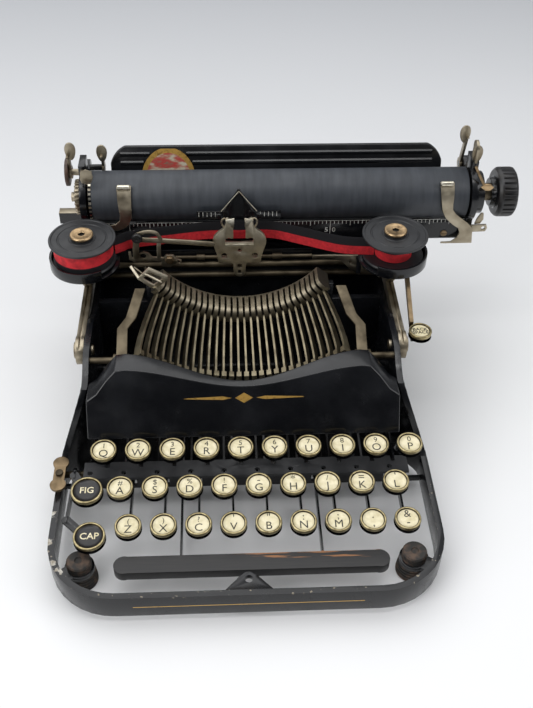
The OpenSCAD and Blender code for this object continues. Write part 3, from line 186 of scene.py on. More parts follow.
def blotches(tree, place, millimetres, stops, stretch=None, detail=4.0):
    """Irregular patches of that size, coloured by the stops."""
    if stretch:
        place = add_node(tree, "ShaderNodeMapping", {"Vector": place, "Scale": stretch}).outputs["Vector"]
    noise = add_node(tree, "ShaderNodeTexNoise", {"Vector": place, "Scale": 1 / (millimetres * MM), "Detail": detail})
    made = add_node(tree, "ShaderNodeValToRGB", {"Fac": noise.outputs["Fac"]})
    ramp = made.color_ramp.elements
    for step, (position, code) in zip(ramp, (stops[0], stops[-1])):
        step.position, step.color = position, tint(code)
    for position, code in stops[1:-1]:
        ramp.new(position).color = tint(code)
    return made.outputs["Color"]


def between(tree, place, axis, low, high, soft):
    """One where the piece lies between two places along an axis, in millimetres, and zero beyond a soft edge."""
    value = add_node(tree, "ShaderNodeSeparateXYZ", {"Vector": place}).outputs[axis]
    rise = add_node(tree, "ShaderNodeMapRange", {"Value": value, "From Min": (low - soft) * MM, "From Max": low * MM})
    fall = add_node(tree, "ShaderNodeMapRange", {
        "Value": value, "From Min": high * MM, "From Max": (high + soft) * MM, "To Min": 1.0, "To Max": 0.0})
    both = {0: rise.outputs["Result"], 1: fall.outputs["Result"]}
    return add_node(tree, "ShaderNodeMath", both, operation="MULTIPLY").outputs[0]


def overlaid(tree, base, over, amount, *masks):
    """Lays one colour over another where all the masks are white."""
    base, over = (tint(each) if isinstance(each, str) else each for each in (base, over))
    for mask in masks:
        amount = add_node(tree, "ShaderNodeMath", {0: amount, 1: mask}, operation="MULTIPLY").outputs[0]
    return add_node(tree, "ShaderNodeMix", {0: amount, 6: base, 7: over}, data_type="RGBA").outputs[2]


def chipped_band(tree, place, base):
    """A gold line along the band's front, and an upper edge that is chipped to pale primer, most on the left."""
    base = overlaid(tree, base, "gold", between(tree, place, "Z", 12.4, 13.0, 0.1),
                    between(tree, place, "Y", -140, -133.3, 0.05), between(tree, place, "X", -90, 30, 0.5))
    chips = blotches(tree, place, 6, [(0.57, 0.0), (0.6, 1.0)], detail=5.0)
    few = blotches(tree, place, 3, [(0.64, 0.0), (0.68, 1.0)], detail=5.0)
    chips = overlaid(tree, few, chips, between(tree, place, "X", -140, -128, 6))
    pale = blotches(tree, place, 3, [(0.35, "primer"), (0.7, "tarnish")])
    return overlaid(tree, base, pale, between(tree, place, "Z", 20.4, 21.2, 0.8),
                    between(tree, place, "Y", -140, -60, 2), chips)


def thumb_wear(tree, place, base):
    """Stain worn off the middle of the bar's front edge, along the grain."""
    streaks = blotches(tree, place, 1.6, [(0.53, 0.0), (0.57, 1.0)], WOOD_GRAIN)
    return overlaid(tree, base, "worn_wood", between(tree, place, "X", -25, 45, 15),
                    between(tree, place, "Y", -109.5, -100, 1.5), streaks)


def two_colours(low, high, soft):
    """Red between two heights on the machine, and black beyond."""
    return lambda tree, place, base: overlaid(
        tree, "ribbon_black", base, between(tree, place, "Z", low, high, soft))


WOOD_GRAIN = (0.06, 1.0, 1.0)
RIBBON_TURNS = (0.05, 0.05, 1.0)

# Each finish has a roughness, patches of colour (size in mm, stops, stretch), and where it needs them a metallic
# value, patches of roughness (size, low, high), a grain (size, depth, strength, stretch) and a detail of its own
FINISHES = {
    # Baked lacquer on iron: deep gloss black with rubbed patches and a faint orange peel
    "baked_black_lacquer": dict(
        rough=0.22, patches=(22, [(0.42, "lacquer"), (0.75, "worn_lacquer")]), gloss=(9, 0.13, 0.28),
        grain=(2.5, 0.04, 0.2)),
    # The same lacquer on the frame, where the low band is chipped and lined
    "chipped_black": dict(
        rough=0.3, patches=(22, [(0.42, "lacquer"), (0.75, "worn_lacquer")]), gloss=(9, 0.15, 0.3),
        grain=(2.5, 0.04, 0.2), detail=chipped_band),
    # Dull paint of the spools and the key comb, greyed by dust
    "dull_black": dict(
        rough=0.46, patches=(12, [(0.35, "worn_lacquer"), (0.7, "dull_black")]), gloss=(5, 0.36, 0.55),
        grain=(1.2, 0.04, 0.2)),
    # Nickel plate gone yellow grey: soft highlights, tarnish in wide patches, fine rubbing marks
    "aged_nickel": dict(
        rough=0.4, metal=1.0, patches=(14, [(0.3, "tarnish"), (0.62, "nickel")]), gloss=(4, 0.34, 0.52),
        grain=(0.8, 0.03, 0.2)),
    # Nickel plate of the type guide, rubbed by the ribbon: pale, with brown grime
    "bright_nickel": dict(
        rough=0.42, metal=1.0, patches=(5, [(0.3, "nickel"), (0.6, "#d2c9b4")]), grain=(0.8, 0.03, 0.2)),
    # Nickel plate inside the machine, brown and painted dark as shade
    "dim_nickel": dict(
        rough=0.52, metal=1.0, patches=(10, [(0.3, "#423b30"), (0.65, "#746a58")]), grain=(0.8, 0.03, 0.25)),
    # Nickel plate that wear keeps bright
    "polished_nickel": dict(
        rough=0.3, metal=1.0, patches=(4, [(0.3, "nickel"), (0.55, "bright_nickel")]), grain=(0.6, 0.02, 0.15)),
    # Typebar steel: warm grey with an even dull shine, painted dark as shade where it lies in the segment's slots
    "oxidised_steel": dict(
        rough=0.42, metal=1.0, patches=(8, [(0.3, "#756c59"), (0.65, "steel")]), grain=(0.6, 0.02, 0.2),
        detail=lambda tree, place, base: overlaid(tree, base, "#14120f", between(tree, place, "Y", 41.5, 80, 1.5))),
    # Sand-cast segment under thin nickel: even grey brown with a fine grain
    "cast_nickel": dict(
        rough=0.5, metal=1.0, patches=(6, [(0.3, "#7c7462"), (0.65, "#aaa08c")]), grain=(0.7, 0.06, 0.35)),
    # Brass rubbed pale by fingers, brown where they miss it
    "aged_brass": dict(rough=0.4, metal=1.0, patches=(4, [(0.28, "bronze"), (0.5, "brass")]), grain=(0.6, 0.03, 0.2)),
    # Bronze of the shift lock and screws, brown and dull
    "worn_bronze": dict(
        rough=0.45, metal=1.0, patches=(5, [(0.3, "#695a45"), (0.7, "#948064")]), grain=(0.6, 0.03, 0.2)),
    # Plated brass key ring, worn to a yellow grey
    "key_ring_metal": dict(rough=0.36, metal=1.0, patches=(2.5, [(0.3, "#7d7152"), (0.6, "#b3a67f")])),
    # The cup under the ring and its inner wall: brass painted dark as shade
    "key_cup_painted_shade": dict(rough=0.5, metal=1.0, patches=(2.5, [(0.35, "#2a241a"), (0.7, "#584c35")])),
    # Printed card under clear celluloid: yellowed cream, glossy on top
    "key_card": dict(
        rough=0.3, patches=(4, [(0.3, "#cbbf95"), (0.6, "cream")]), coat={"Coat Weight": 0.3, "Coat Roughness": 0.15}),
    # Black letter ink, a little uneven; also the painted shade in the segment's slots and in the hole of each thumb nut
    "ink_and_painted_shade": dict(rough=0.5, patches=(1.0, [(0.3, "ink"), (0.8, "#2c281f")])),
    # Turned hard rubber: black with a brown cast and a waxy shine
    "turned_ebonite": dict(rough=0.36, patches=(5, [(0.35, "#131316"), (0.7, "#24211f")]), grain=(0.9, 0.03, 0.2)),
    # Hard rubber gone brown in the light, on the line space button
    "brown_ebonite": dict(rough=0.45, patches=(4, [(0.35, "#3a2a22"), (0.7, "#5a4538")]), grain=(0.9, 0.03, 0.2)),
    # Hardened platen rubber: blue grey, dull, rubbed in bands round the roll
    "platen_rubber": dict(
        rough=0.55, patches=(3, [(0.3, "platen"), (0.72, "#3c4046")], (1.0, 0.15, 0.15)), gloss=(12, 0.45, 0.62),
        grain=(0.7, 0.03, 0.25)),
    # Perished rubber of the feet: dull black with brown crusts
    "foot_rubber": dict(rough=0.75, patches=(4, [(0.42, "rubber"), (0.66, "#57463a")]), grain=(0.8, 0.15, 0.5)),
    # Black stained wood: fine grain along the bar, worn to brown where the thumb strikes
    "stained_wood": dict(
        rough=0.38, patches=(0.9, [(0.3, "#101012"), (0.7, "#1f1d1c")], WOOD_GRAIN), grain=(0.9, 0.05, 0.3, WOOD_GRAIN),
        detail=thumb_wear),
    # Cotton ribbon, black over red: its weave of 0.35 mm is drawn at 0.8 mm so that it shows
    "inked_ribbon": dict(
        rough=0.8, patches=(2, [(0.3, "#b8202a"), (0.7, "ribbon_red")]), weave=(0.8, 0.03, 0.3),
        detail=two_colours(0, 98.7, 0.2)),
    # The outer turn of ribbon on each spool, ringed 0.8 mm apart
    **{"wound_ribbon_" + side: dict(
        rough=0.8, patches=(5, [(0.3, "#a81e27"), (0.6, "ribbon_red")]), grain=(0.8, 0.1, 0.4, RIBBON_TURNS),
        detail=two_colours(low, high, 0.3)) for side, low, high in (("left", 97, 200), ("right", 0, 98.9))},
    # Thin gold paint, rubbed in places
    "gold_transfer": dict(rough=0.45, metal=0.6, patches=(2, [(0.28, "#8a6a35"), (0.5, "gold")])),
    # White paint in the stamped marks of the scales, dirty in places
    "scale_white": dict(rough=0.6, patches=(4, [(0.3, "#8b8981"), (0.6, "white")])),
    # Printed middle of the roundel: cream paper with faded red patches
    "faded_transfer": dict(
        rough=0.5,
        patches=(3.5, [(0.4, "#b5ad98"), (0.5, "#a05a4c"), (0.58, "#a8332f"), (0.66, "#6f6a58")], (0.35, 1.0, 1.0))),
    # Matt white table with the faintest mottling, shaded towards its far end
    "pale_table": dict(
        rough=0.9, patches=(400, [(0.3, "floor"), (0.7, "#ebebec")]),
        detail=lambda tree, place, base: overlaid(tree, base, "far_floor", between(tree, place, "Y", 750, 5000, 750))),
}


def finish(name):
    """The finish of that name, made once."""
    if name in bpy.data.materials:
        return bpy.data.materials[name]
    look = FINISHES[name]
    material = bpy.data.materials.new(name)
    material.use_nodes = True
    tree = material.node_tree
    shader = tree.nodes["Principled BSDF"]
    metal = look.get("metal", 0.0)
    values = {"Roughness": look["rough"], "Metallic": metal, **look.get("coat", {})}
    if not metal:
        values["IOR"] = COATING_IOR
    for socket, value in values.items():
        shader.inputs[socket].default_value = value
    place = add_node(tree, "ShaderNodeTexCoord").outputs["Object"]
    base = blotches(tree, place, *look["patches"])
    if "detail" in look:
        base = look["detail"](tree, place, base)
    tree.links.new(base, shader.inputs["Base Color"])
    if "gloss" in look:
        size, low, high = look["gloss"]
        tree.links.new(blotches(tree, place, size, [(0.3, low), (0.7, high)]), shader.inputs["Roughness"])
    for key, kind, inputs in (("grain", "ShaderNodeTexNoise", {"Detail": 3.0}), ("weave", "ShaderNodeTexChecker", {})):
        if key in look:
            size, depth, strength, *stretch = look[key]
            for scale in stretch:
                place = add_node(tree, "ShaderNodeMapping", {"Vector": place, "Scale": scale}).outputs["Vector"]
            pattern = add_node(tree, kind, {"Vector": place, "Scale": 1 / (size * MM), **inputs})
            bump = add_node(tree, "ShaderNodeBump", {
                "Height": pattern.outputs["Fac"], "Distance": depth * MM, "Strength": strength})
            tree.links.new(bump.outputs["Normal"], shader.inputs["Normal"])
    return material


# Shaping


def start():
    """Back to object mode with nothing selected."""
    if bpy.context.mode != "OBJECT":
        bpy.ops.object.mode_set(mode="OBJECT")
    bpy.ops.object.select_all(action="DESELECT")


def pick(*objects):
    """Selects these alone, the first one active."""
    start()
    for each in objects:
        each.select_set(True)
    bpy.context.view_layer.objects.active = objects[0]


def edit(piece):
    """Edit mode on the piece, with all of it selected."""
    pick(piece)
    bpy.ops.object.mode_set(mode="EDIT")
    bpy.ops.mesh.select_all(action="SELECT")


def put(piece, place):
    """Puts the piece in its place, in its mesh."""
    pick(piece)
    piece.matrix_world = place
    bpy.ops.object.transform_apply(location=True, rotation=True, scale=True)
    return piece


def discard(piece):
    bpy.data.objects.remove(piece)


def finish_faces(piece, index, test):
    """Gives the faces whose middle, in millimetres on the machine, and normal pass the test that finish."""
    origin = at(0, 0, 0)
    for face in piece.data.polygons:
        if test((face.center - origin) / MM, face.normal):
            face.material_index = index


def shape(piece, kind, **settings):
    """Adds a modifier to the piece and applies it."""
    pick(piece)
    made = piece.modifiers.new(kind, kind)
    for key, value in settings.items():
        setattr(made, key, value)
    bpy.ops.object.modifier_apply(modifier=made.name)
    return piece


def round_edges(piece, width, segments=2, angle=30):
    return shape(piece, "BEVEL", width=width, segments=segments, limit_method="ANGLE",
                 angle_limit=math.radians(angle), use_clamp_overlap=True)


def cut(piece, tool, operation="DIFFERENCE"):
    """Cuts the piece with the tool, or keeps what they share, and puts the tool away."""
    shape(piece, "BOOLEAN", operation=operation, object=tool, solver="EXACT")
    discard(tool)
    return piece


def draw(name, points, closed):
    """Draws a line from point to point as by hand: a plane is merged to one corner, which is then drawn on."""
    start()
    bpy.ops.mesh.primitive_plane_add(size=MM)
    piece = bpy.context.active_object
    piece.name = name
    bpy.context.tool_settings.mesh_select_mode = (True, False, False)
    bpy.ops.object.mode_set(mode="EDIT")
    bpy.ops.mesh.select_all(action="SELECT")
    bpy.ops.mesh.merge(type="CENTER")
    points = [Vector(p) for p in points]
    if closed:
        points.append(points[0])
    bpy.ops.transform.translate(value=points[0])
    for a, b in zip(points, points[1:]):
        bpy.ops.mesh.extrude_vertices_move(TRANSFORM_OT_translate={"value": b - a})
    bpy.ops.mesh.select_all(action="SELECT")
    if closed:
        bpy.ops.mesh.remove_doubles(threshold=1e-7)
    return piece


def sheet(name, outline, thickness):
    """A flat piece cut to an outline, in millimetres."""
    piece = draw(name, [(x * MM, y * MM, 0) for x, y in outline], True)
    bpy.ops.mesh.edge_face_add()
    bpy.ops.mesh.select_all(action="SELECT")
    bpy.ops.mesh.extrude_region_move(TRANSFORM_OT_translate={"value": (0, 0, thickness * MM)})
    bpy.ops.mesh.select_all(action="SELECT")
    bpy.ops.mesh.normals_make_consistent(inside=False)
    pick(piece)
    return piece


def plate(name, outline, thickness, place, edge=0.0, holes=()):
    """A flat piece with holes, given as middle and radius, and rounded edges, put in its place."""
    piece = sheet(name, outline, thickness)
    for x, y, radius in holes:
        tool = sheet("drill", ring_points(x, y, radius), thickness * 3)
        tool.location.z = -thickness * MM
        cut(piece, tool)
    if edge:
        round_edges(piece, edge * MM)
    return put(piece, place)


def oblong(left, low, right, high):
    return [(left, low), (right, low), (right, high), (left, high)]


def ring_points(x, y, radius, start_angle=0, turn=360, steps=20):
    """Points along an arc, the end left out on a full circle."""
    count = steps if turn == 360 else steps + 1
    angles = [math.radians(start_angle + turn * i / steps) for i in range(count)]
    return [(x + radius * math.cos(a), y + radius * math.sin(a)) for a in angles]


def strap_points(path, width):
    """Outline of a flat bar of that width along a path, with round ends."""
    pts = [Vector(p) for p in path]
    sides = []
    for i, p in enumerate(pts):
        along = (pts[min(i + 1, len(pts) - 1)] - pts[max(i - 1, 0)]).normalized()
        sides.append((p, Vector((-along.y, along.x)) * width / 2, along))

    def cap(end, way):
        p, n, along = end
        turns = (0.6, 1.2, math.pi - 1.2, math.pi - 0.6)
        return [p + way * (along * width / 2 * math.sin(a) - n * math.cos(a)) for a in turns]

    there = [p - n for p, n, _ in sides] + cap(sides[-1], 1)
    back = [p + n for p, n, _ in reversed(sides)] + cap(sides[0], -1)
    return [tuple(p) for p in there + back]


def mirrored(points):
    """An outline closed by its own mirror image across the machine's middle plane."""
    return [*points, *((-x, z) for x, z in reversed(points))]


def wrapped(name, outline, section, span):
    """Sheet metal bent to a section in Y and Z and cut to an outline in X and Z."""
    bent = plate(name, section, span[1] - span[0], sideways(span[0]))
    tool = plate("cutter", outline, 80, facing(280))
    return cut(bent, tool, "INTERSECT")


def lathe(name, profile, place=Matrix(), steps=48):
    """A turned piece from a closed profile of radius and height in millimetres, spun round its own Z."""
    piece = draw(name, [(r * MM, 0, h * MM) for r, h in profile], True)
    bpy.ops.mesh.spin(steps=steps, angle=2 * math.pi, center=(0, 0, 0), axis=(0, 0, 1))
    bpy.ops.mesh.select_all(action="SELECT")
    bpy.ops.mesh.remove_doubles(threshold=1e-7)
    bpy.ops.mesh.normals_make_consistent(inside=False)
    return put(piece, place)


def smooth_path(points, steps=6):
    """Points of a smooth curve through the given ones."""
    pts = [Vector(p) for p in points]
    full = [2 * pts[0] - pts[1], *pts, 2 * pts[-1] - pts[-2]]
    out = []
    for i in range(1, len(full) - 2):
        a, b, c, d = full[i - 1:i + 3]
        for k in range(steps):
            t = k / steps
            curve = 2 * b + (c - a) * t + (2 * a - 5 * b + 4 * c - d) * t * t + (3 * b - a - 3 * c + d) * t ** 3
            out.append(0.5 * curve)
    return [*out, pts[-1]]


def rod(name, points, radius):
    """A round rod along points of the machine, bent smoothly and capped."""
    places = [at(*p) for p in points]
    piece = draw(name, smooth_path(places) if len(points) > 2 else places, False)
    pick(piece)
    bpy.ops.object.convert(target="CURVE")
    piece = bpy.context.active_object
    piece.data.dimensions = "3D"
    piece.data.bevel_depth = radius * MM
    piece.data.bevel_resolution = 3
    piece.data.use_fill_caps = True
    bpy.ops.object.convert(target="MESH")
    piece = bpy.context.active_object
    piece.name = name
    edit(piece)
    bpy.ops.mesh.remove_doubles(threshold=1e-7)
    bpy.ops.mesh.normals_make_consistent(inside=False)
    pick(piece)
    return piece


def lettering(text, height, place, weight=0.0, depth=0.04):
    """Raised letters of that height, made a mesh before they are put in place."""
    start()
    bpy.ops.object.text_add()
    letters = bpy.context.active_object
    letters.data.body = text
    letters.data.size = height * 1.4
    letters.data.space_line = 0.8
    letters.data.align_x, letters.data.align_y = "CENTER", "CENTER"
    letters.data.extrude = depth * MM
    letters.data.offset = weight * MM
    letters.data.resolution_u = 3
    bpy.ops.object.convert(target="MESH")
    return put(bpy.context.active_object, place)


def copy_of(piece, name, place):
    """A copy with its own mesh, put in its place."""
    pick(piece)
    bpy.ops.object.duplicate()
    made = bpy.context.active_object
    made.name = name
    return put(made, place @ made.matrix_world)


def join(name, pieces):
    """Joins pieces, each with its own finish, into one."""
    pick(*pieces)
    if len(pieces) > 1:
        bpy.ops.object.join()
    made = bpy.context.active_object
    made.name = name
    return made


def coated(piece, *finishes):
    """The piece in the finishes of those names, the first one all over."""
    piece.data.materials.clear()
    for name in finishes:
        piece.data.materials.append(finish(name))
    return piece


def all_in(name, *pieces):
    return [coated(each, name) for each in pieces]


def packed_copy(node):
    """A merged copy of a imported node, free of the frame."""
    pick(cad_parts[node])
    bpy.ops.object.duplicate()
    piece = bpy.context.active_object
    piece.parent = None
    piece.matrix_world = Matrix()
    for key in list(piece.keys()):
        del piece[key]
    piece.name = node + "_shape"
    edit(piece)
    bpy.ops.mesh.remove_doubles(threshold=2e-7)
    bpy.ops.mesh.dissolve_limited(angle_limit=math.radians(0.5))
    pick(piece)
    piece.data.materials.clear()
    return piece


def trimmed(piece, place, normal):
    """Cuts away what stands beyond a plane and closes the cut."""
    edit(piece)
    bpy.ops.mesh.bisect(plane_co=place, plane_no=normal, use_fill=True, clear_outer=True)
    pick(piece)
    return piece


def settle(piece, body, replaced=(), angle=35):
    """Smooths a piece, lets it ride on its body and hides the imported nodes that it stands for."""
    pick(piece)
    bpy.ops.object.transform_apply(location=True, rotation=True, scale=True)
    bpy.ops.object.shade_smooth_by_angle(angle=math.radians(angle))
    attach(piece, body)
    if replaced:
        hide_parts(*replaced)
    return piece


def dress(piece, body, slot, *finishes):
    """Settles a piece of the scene's own in its finishes."""
    return settle(coated(piece, *finishes), body)


def soften(node, body, slot, edge, *finishes, segments=2, angle=35):
    """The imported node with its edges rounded, in the node's place."""
    piece = packed_copy(node)
    if edge:
        round_edges(piece, edge, segments)
    return settle(coated(piece, *finishes), body, [node], angle)


# Pieces


class TYPEWRITER_OT_castings(bpy.types.Operator):
    """Frame, front cover and carriage castings with rounded, chipped lacquer edges"""

    bl_idname = "typewriter.castings"
    bl_label = "Castings"

    def execute(self, context):
        edge, thin = sizes().casting_edge, sizes().plate_edge
        soften("base_frame", "base", "japanned_black", edge, "chipped_black")
        soften("front_cover", "base", "japanned_black", edge * 1.2, "baked_black_lacquer", segments=3, angle=50)
        soften("key_guide", "base", "japanned_black", thin, "dull_black", segments=1)
        soften("carriage_bed", "bed", "japanned_black", edge, "baked_black_lacquer")
        soften("line_scale", "carriage", "japanned_black", thin, "baked_black_lacquer", segments=1)
        soften("spool_cups", "fold", "japanned_black", edge * 0.7, "baked_black_lacquer")
        ends = soften("carriage_frame", "carriage", "japanned_black", edge,
                      "baked_black_lacquer", "brown_ebonite", "aged_nickel")
        # Brown button at the far left, plated top of the right end, plated screw and ledge on the left end
        finish_faces(ends, 1, lambda c, n: c.x < -104.2 and c.z > 112)
        finish_faces(ends, 2, lambda c, n: c.x > 140 and c.z > 135.3)
        finish_faces(ends, 2, lambda c, n: -104.2 < c.x < -98 and (c - Vector((c.x, 238, 127))).length < 2.5)
        finish_faces(ends, 2, lambda c, n: c.x < -98 and c.z < 112 and n.z > 0.7)
        self.ornament()
        return {"FINISHED"}

    def ornament(self):
        """Plain gold lozenge and lines on the cover's leaning front."""
        across, up = Vector((1, 0, 0)), Vector((0, 0.62, 1)).normalized()
        spot = placed(0, 101.9, 62.2) @ Matrix((across, up, across.cross(up))).transposed().to_4x4()
        pieces = [plate("lozenge", [(-5, 0), (0, -3), (5, 0), (0, 3)], 0.06, spot)]
        for side in (-1, 1):
            leaf = [(side * x, y) for x, y in ((7, 0), (12, 1.0), (33, 0.25), (34, 0), (33, -0.25), (12, -1.0))]
            pieces.append(plate("leaf", leaf, 0.06, spot))
        dress(join("cover_ornament", pieces), "base", "japanned_black", "gold_transfer")


class TYPEWRITER_OT_paper_table(bpy.types.Operator):
    """Curved paper table with two pressed beads and a plain roundel"""

    bl_idname = "typewriter.paper_table"
    bl_label = "Paper table"

    def front(self, z):
        """Depth of the table's front face at a height."""
        foot_y, foot_z, tall, lean = 256, 98, 31, 9
        return foot_y + lean * ((z - foot_z) / tall) ** 2

    def disc(self, name, radius, lift, finish):
        """A round transfer laid on the table's curve."""
        heights = [98 + i * 2.5 for i in range(13)]
        section = [(self.front(z) - lift, z) for z in heights]
        section += [(y - 0.08, z) for y, z in reversed(section)]
        piece = wrapped(name, ring_points(-44.6, 111.5, radius, steps=48), section, (-70, -20))
        dress(piece, "carriage", "japanned_black", finish)

    def execute(self, context):
        soften("paper_table", "carriage", "japanned_black", sizes().casting_edge * 0.7, "baked_black_lacquer")
        beads = [rod("bead", [(a, self.front(z) + 0.8, z), (b, self.front(z) + 0.8, z)], 1.8)
                 for a, b, z in ((-75, -56.4, 124.4), (-32.8, 127, 124.4), (-75, -60.4, 119.4), (-28.8, 127, 119.4))]
        dress(join("table_beads", beads), "carriage", "japanned_black", "baked_black_lacquer")
        self.disc("roundel_rim", 17.2, 0.9, "gold_transfer")
        self.disc("roundel_middle", 14.2, 1.0, "faded_transfer")
        return {"FINISHED"}


class TYPEWRITER_OT_metalwork(bpy.types.Operator):
    """Plated arms, typebars, levers and screws"""

    bl_idname = "typewriter.metalwork"
    bl_label = "Metalwork"

    def in_slot(self, middle, normal):
        """True on the walls and floors of the segment's slots, which take painted shade."""
        out = Vector((middle.x, 0, middle.z - SEGMENT_Z))
        along = Vector((-out.z, 0, out.x)).normalized()
        wall = abs(normal.dot(along)) > 0.9 and abs(middle.x) < 66
        return wall or 68 < out.length < 70.6 and normal.dot(out) < 0

    def segment(self):
        """The arched segment, turned as a ring, cut to its arc and slotted for the typebars."""
        ring = lathe("ring", [
            (71, -190.2), (62.6, -190.2), (61.8, -189.6), (61.5, -188.4), (61.5, -178), (61.9, -176.2), (62.9, -174.9),
            (64.4, -174.2), (67, -174), (71, -175)], placed(0, 0, SEGMENT_Z, "X"), 180)
        reach = ring_points(0, SEGMENT_Z, 130, -140, 100, 4)
        arc = cut(ring, plate("arc", [(0, SEGMENT_Z), *reach], 40, facing(210)), "INTERSECT")
        slot = plate("slot", oblong(-0.7, 52, 0.7, 67), 18, facing(188))
        axis = placed(0, 0, SEGMENT_Z)
        slots = []
        for i in range(BARS):
            turn = Matrix.Rotation(math.radians((i - (BARS - 1) / 2) * BAR_STEP), 4, "Y")
            slots.append(copy_of(slot, "slot_copy", axis @ turn @ axis.inverted()))
        discard(slot)
        piece = coated(cut(arc, join("slots", slots)), "cast_nickel", "ink_and_painted_shade")
        # The slots' walls and floors are painted black as shade
        finish_faces(piece, 1, self.in_slot)
        piece.name = "slotted_segment"
        settle(piece, "base", ["type_segment"])

    def paddle(self, x, y, z):
        """The oval finger piece of a lever, turned to the typist."""
        oval = [(x + 3.3 * c * (1 + 0.18 * s), z + 6 * s) for c, s in ring_points(0, 0, 1, steps=24)]
        return coated(plate("lever_paddle", oval, 1.2, facing(y + 0.6), 0.4), "aged_nickel")

    def execute(self, context):
        edge = sizes().plate_edge
        arms = soften("fold_frame", "fold", "nickel_plate", edge * 2,
                      "aged_nickel", "baked_black_lacquer", "dim_nickel")
        # Between the arms the low rails are nickel painted dark as shade, and the faces behind them are painted black
        # as shade
        finish_faces(arms, 2, lambda c, n: abs(c.x) < 92.8 and c.z < 80)
        finish_faces(arms, 1, lambda c, n: abs(c.x) < 92.8 and c.y > 208.2 and 64 < c.z < 77.2 and abs(n.y) > 0.99)
        self.segment()
        # The bars' finish paints them dark as shade where they lie in the segment's slots
        soften("typebars", "base", "nickel_plate", edge, "oxidised_steel", segments=1)
        soften("strike_typebar", "strike_typebar", "nickel_plate", edge, "oxidised_steel", segments=1)
        screws = soften("pivot_screws", "base", "nickel_plate", edge, "aged_nickel", "dim_nickel")
        # Pins inside the side walls and at the front are nickel painted dark as shade
        finish_faces(screws, 1, lambda c, n: abs(c.x) < 92.4 or c.y < 100)
        # The lift arms are nickel painted dark as shade
        soften("shift_lift_arms", "shift_lift_arms", "nickel_plate", edge, "dim_nickel")
        soften("shift_lock", "shift_lock", "nickel_plate", edge * 2, "worn_bronze")
        soften("mainspring_drum", "mainspring_drum", "drum_brass", edge * 3, "worn_bronze")
        for node, tip, *spot in (
            ("line_space_lever", 142, -101.6, 234, 143.8),
            ("paper_release", 132, -85.2, 251, 132.4),
            ("carriage_release", 144, 142.7, 248, 145.2),
        ):
            stem = trimmed(packed_copy(node), at(0, 0, tip), (0, 0, 1))
            round_edges(stem, edge)
            pieces = [coated(stem, "aged_nickel"), self.paddle(*spot)]
            settle(join(node + "_dressed", pieces), node, [node])
        settle(self.paddle(148.4, 234, 139), "carriage")
        soften("feed_roller", "feed_roller", "black_rubber", edge, "platen_rubber")
        return {"FINISHED"}


class TYPEWRITER_OT_type_guide(bpy.types.Operator):
    """Heart-shaped type guide with its bright tips, and the black card holder behind it"""

    bl_idname = "typewriter.type_guide"
    bl_label = "Type guide"

    def execute(self, context):
        edge = sizes().plate_edge / MM
        holder = trimmed(packed_copy("type_guide"), at(0, 213.9, 0), (0, -1, 0))
        tongue = ring_points(0, 73.8, 3.8, -90, 90, 5)
        outer = [(4, 80), (4.8, 80.6), (12.6, 80.8), (13.4, 81.8), (13.8, 86), (15.2, 91.2), (16.4, 95), (16.5, 98),
                 (15.7, 101), (13.2, 104), (10.2, 106.4), (8.8, 108.8), (8.2, 111.4), (8.6, 113.2), (7.4, 114)]
        inner = [(4.2, 112.4), (3.8, 110), (3.8, 99.6), (5, 99.4), (6.6, 100), (8.4, 99.4), (8.9, 98.2), (8.2, 96.4),
                 (0, 96)]
        holes = [(9.6, 86.4, 2.0), (-9.6, 86.4, 2.0), (0, 90.6, 1.3), (0, 78.4, 1.7), (0, 73.6, 1.4)]
        body = plate("guide_plate", mirrored(tongue + outer + inner), 2, facing(205.6), edge, holes)
        bar = plate("guide_bar", strap_points([(-8.2, 94.6), (8.2, 94.6)], 1.6), 0.7, facing(203.8), FINE_EDGE)
        pieces = [coated(body, "bright_nickel"), coated(bar, "polished_nickel")]
        for side in (-1, 1):
            corners = [(side * x, z) for x, z in ((3.1, 114.6), (8.1, 113.4), (4.2, 107.4), (3.3, 108.4))]
            tip = plate("guide_tip", corners, 0.9, facing(203.8), FINE_EDGE)
            pieces.append(coated(tip, "polished_nickel"))
            loop = rod("guide_loop", [(side * x, 204.6, z) for x, z in (
                (9, 106.6), (10.6, 109.4), (10.8, 112), (9.4, 113.6), (7.6, 113.2))], 0.55)
            pieces.append(coated(loop, "aged_nickel"))
        settle(join("type_guide_front", pieces), "fold", ["type_guide"])
        round_edges(holder, 0.15 * MM, 1)
        peak = plate("peak", [(-11.5, 108.6), (11.5, 108.6), (11.5, 112), (0.8, 126.8), (-0.8, 126.8), (-11.5, 112)],
                     0.5, facing(215.2))
        edges = [rod("peak_edge", [(x, 214.6, 112.2), (0, 214.6, 126.6)], 0.3) for x in (-11, 11)]
        stays = [rod("stay", [(x, 205.4, 109.4), (x, 214.4, 109.4)], 0.7) for x in (-10.4, 10.4)]
        pieces = all_in("baked_black_lacquer", holder, peak, *stays) + all_in("polished_nickel", *edges)
        settle(join("card_holder", pieces), "fold")
        return {"FINISHED"}


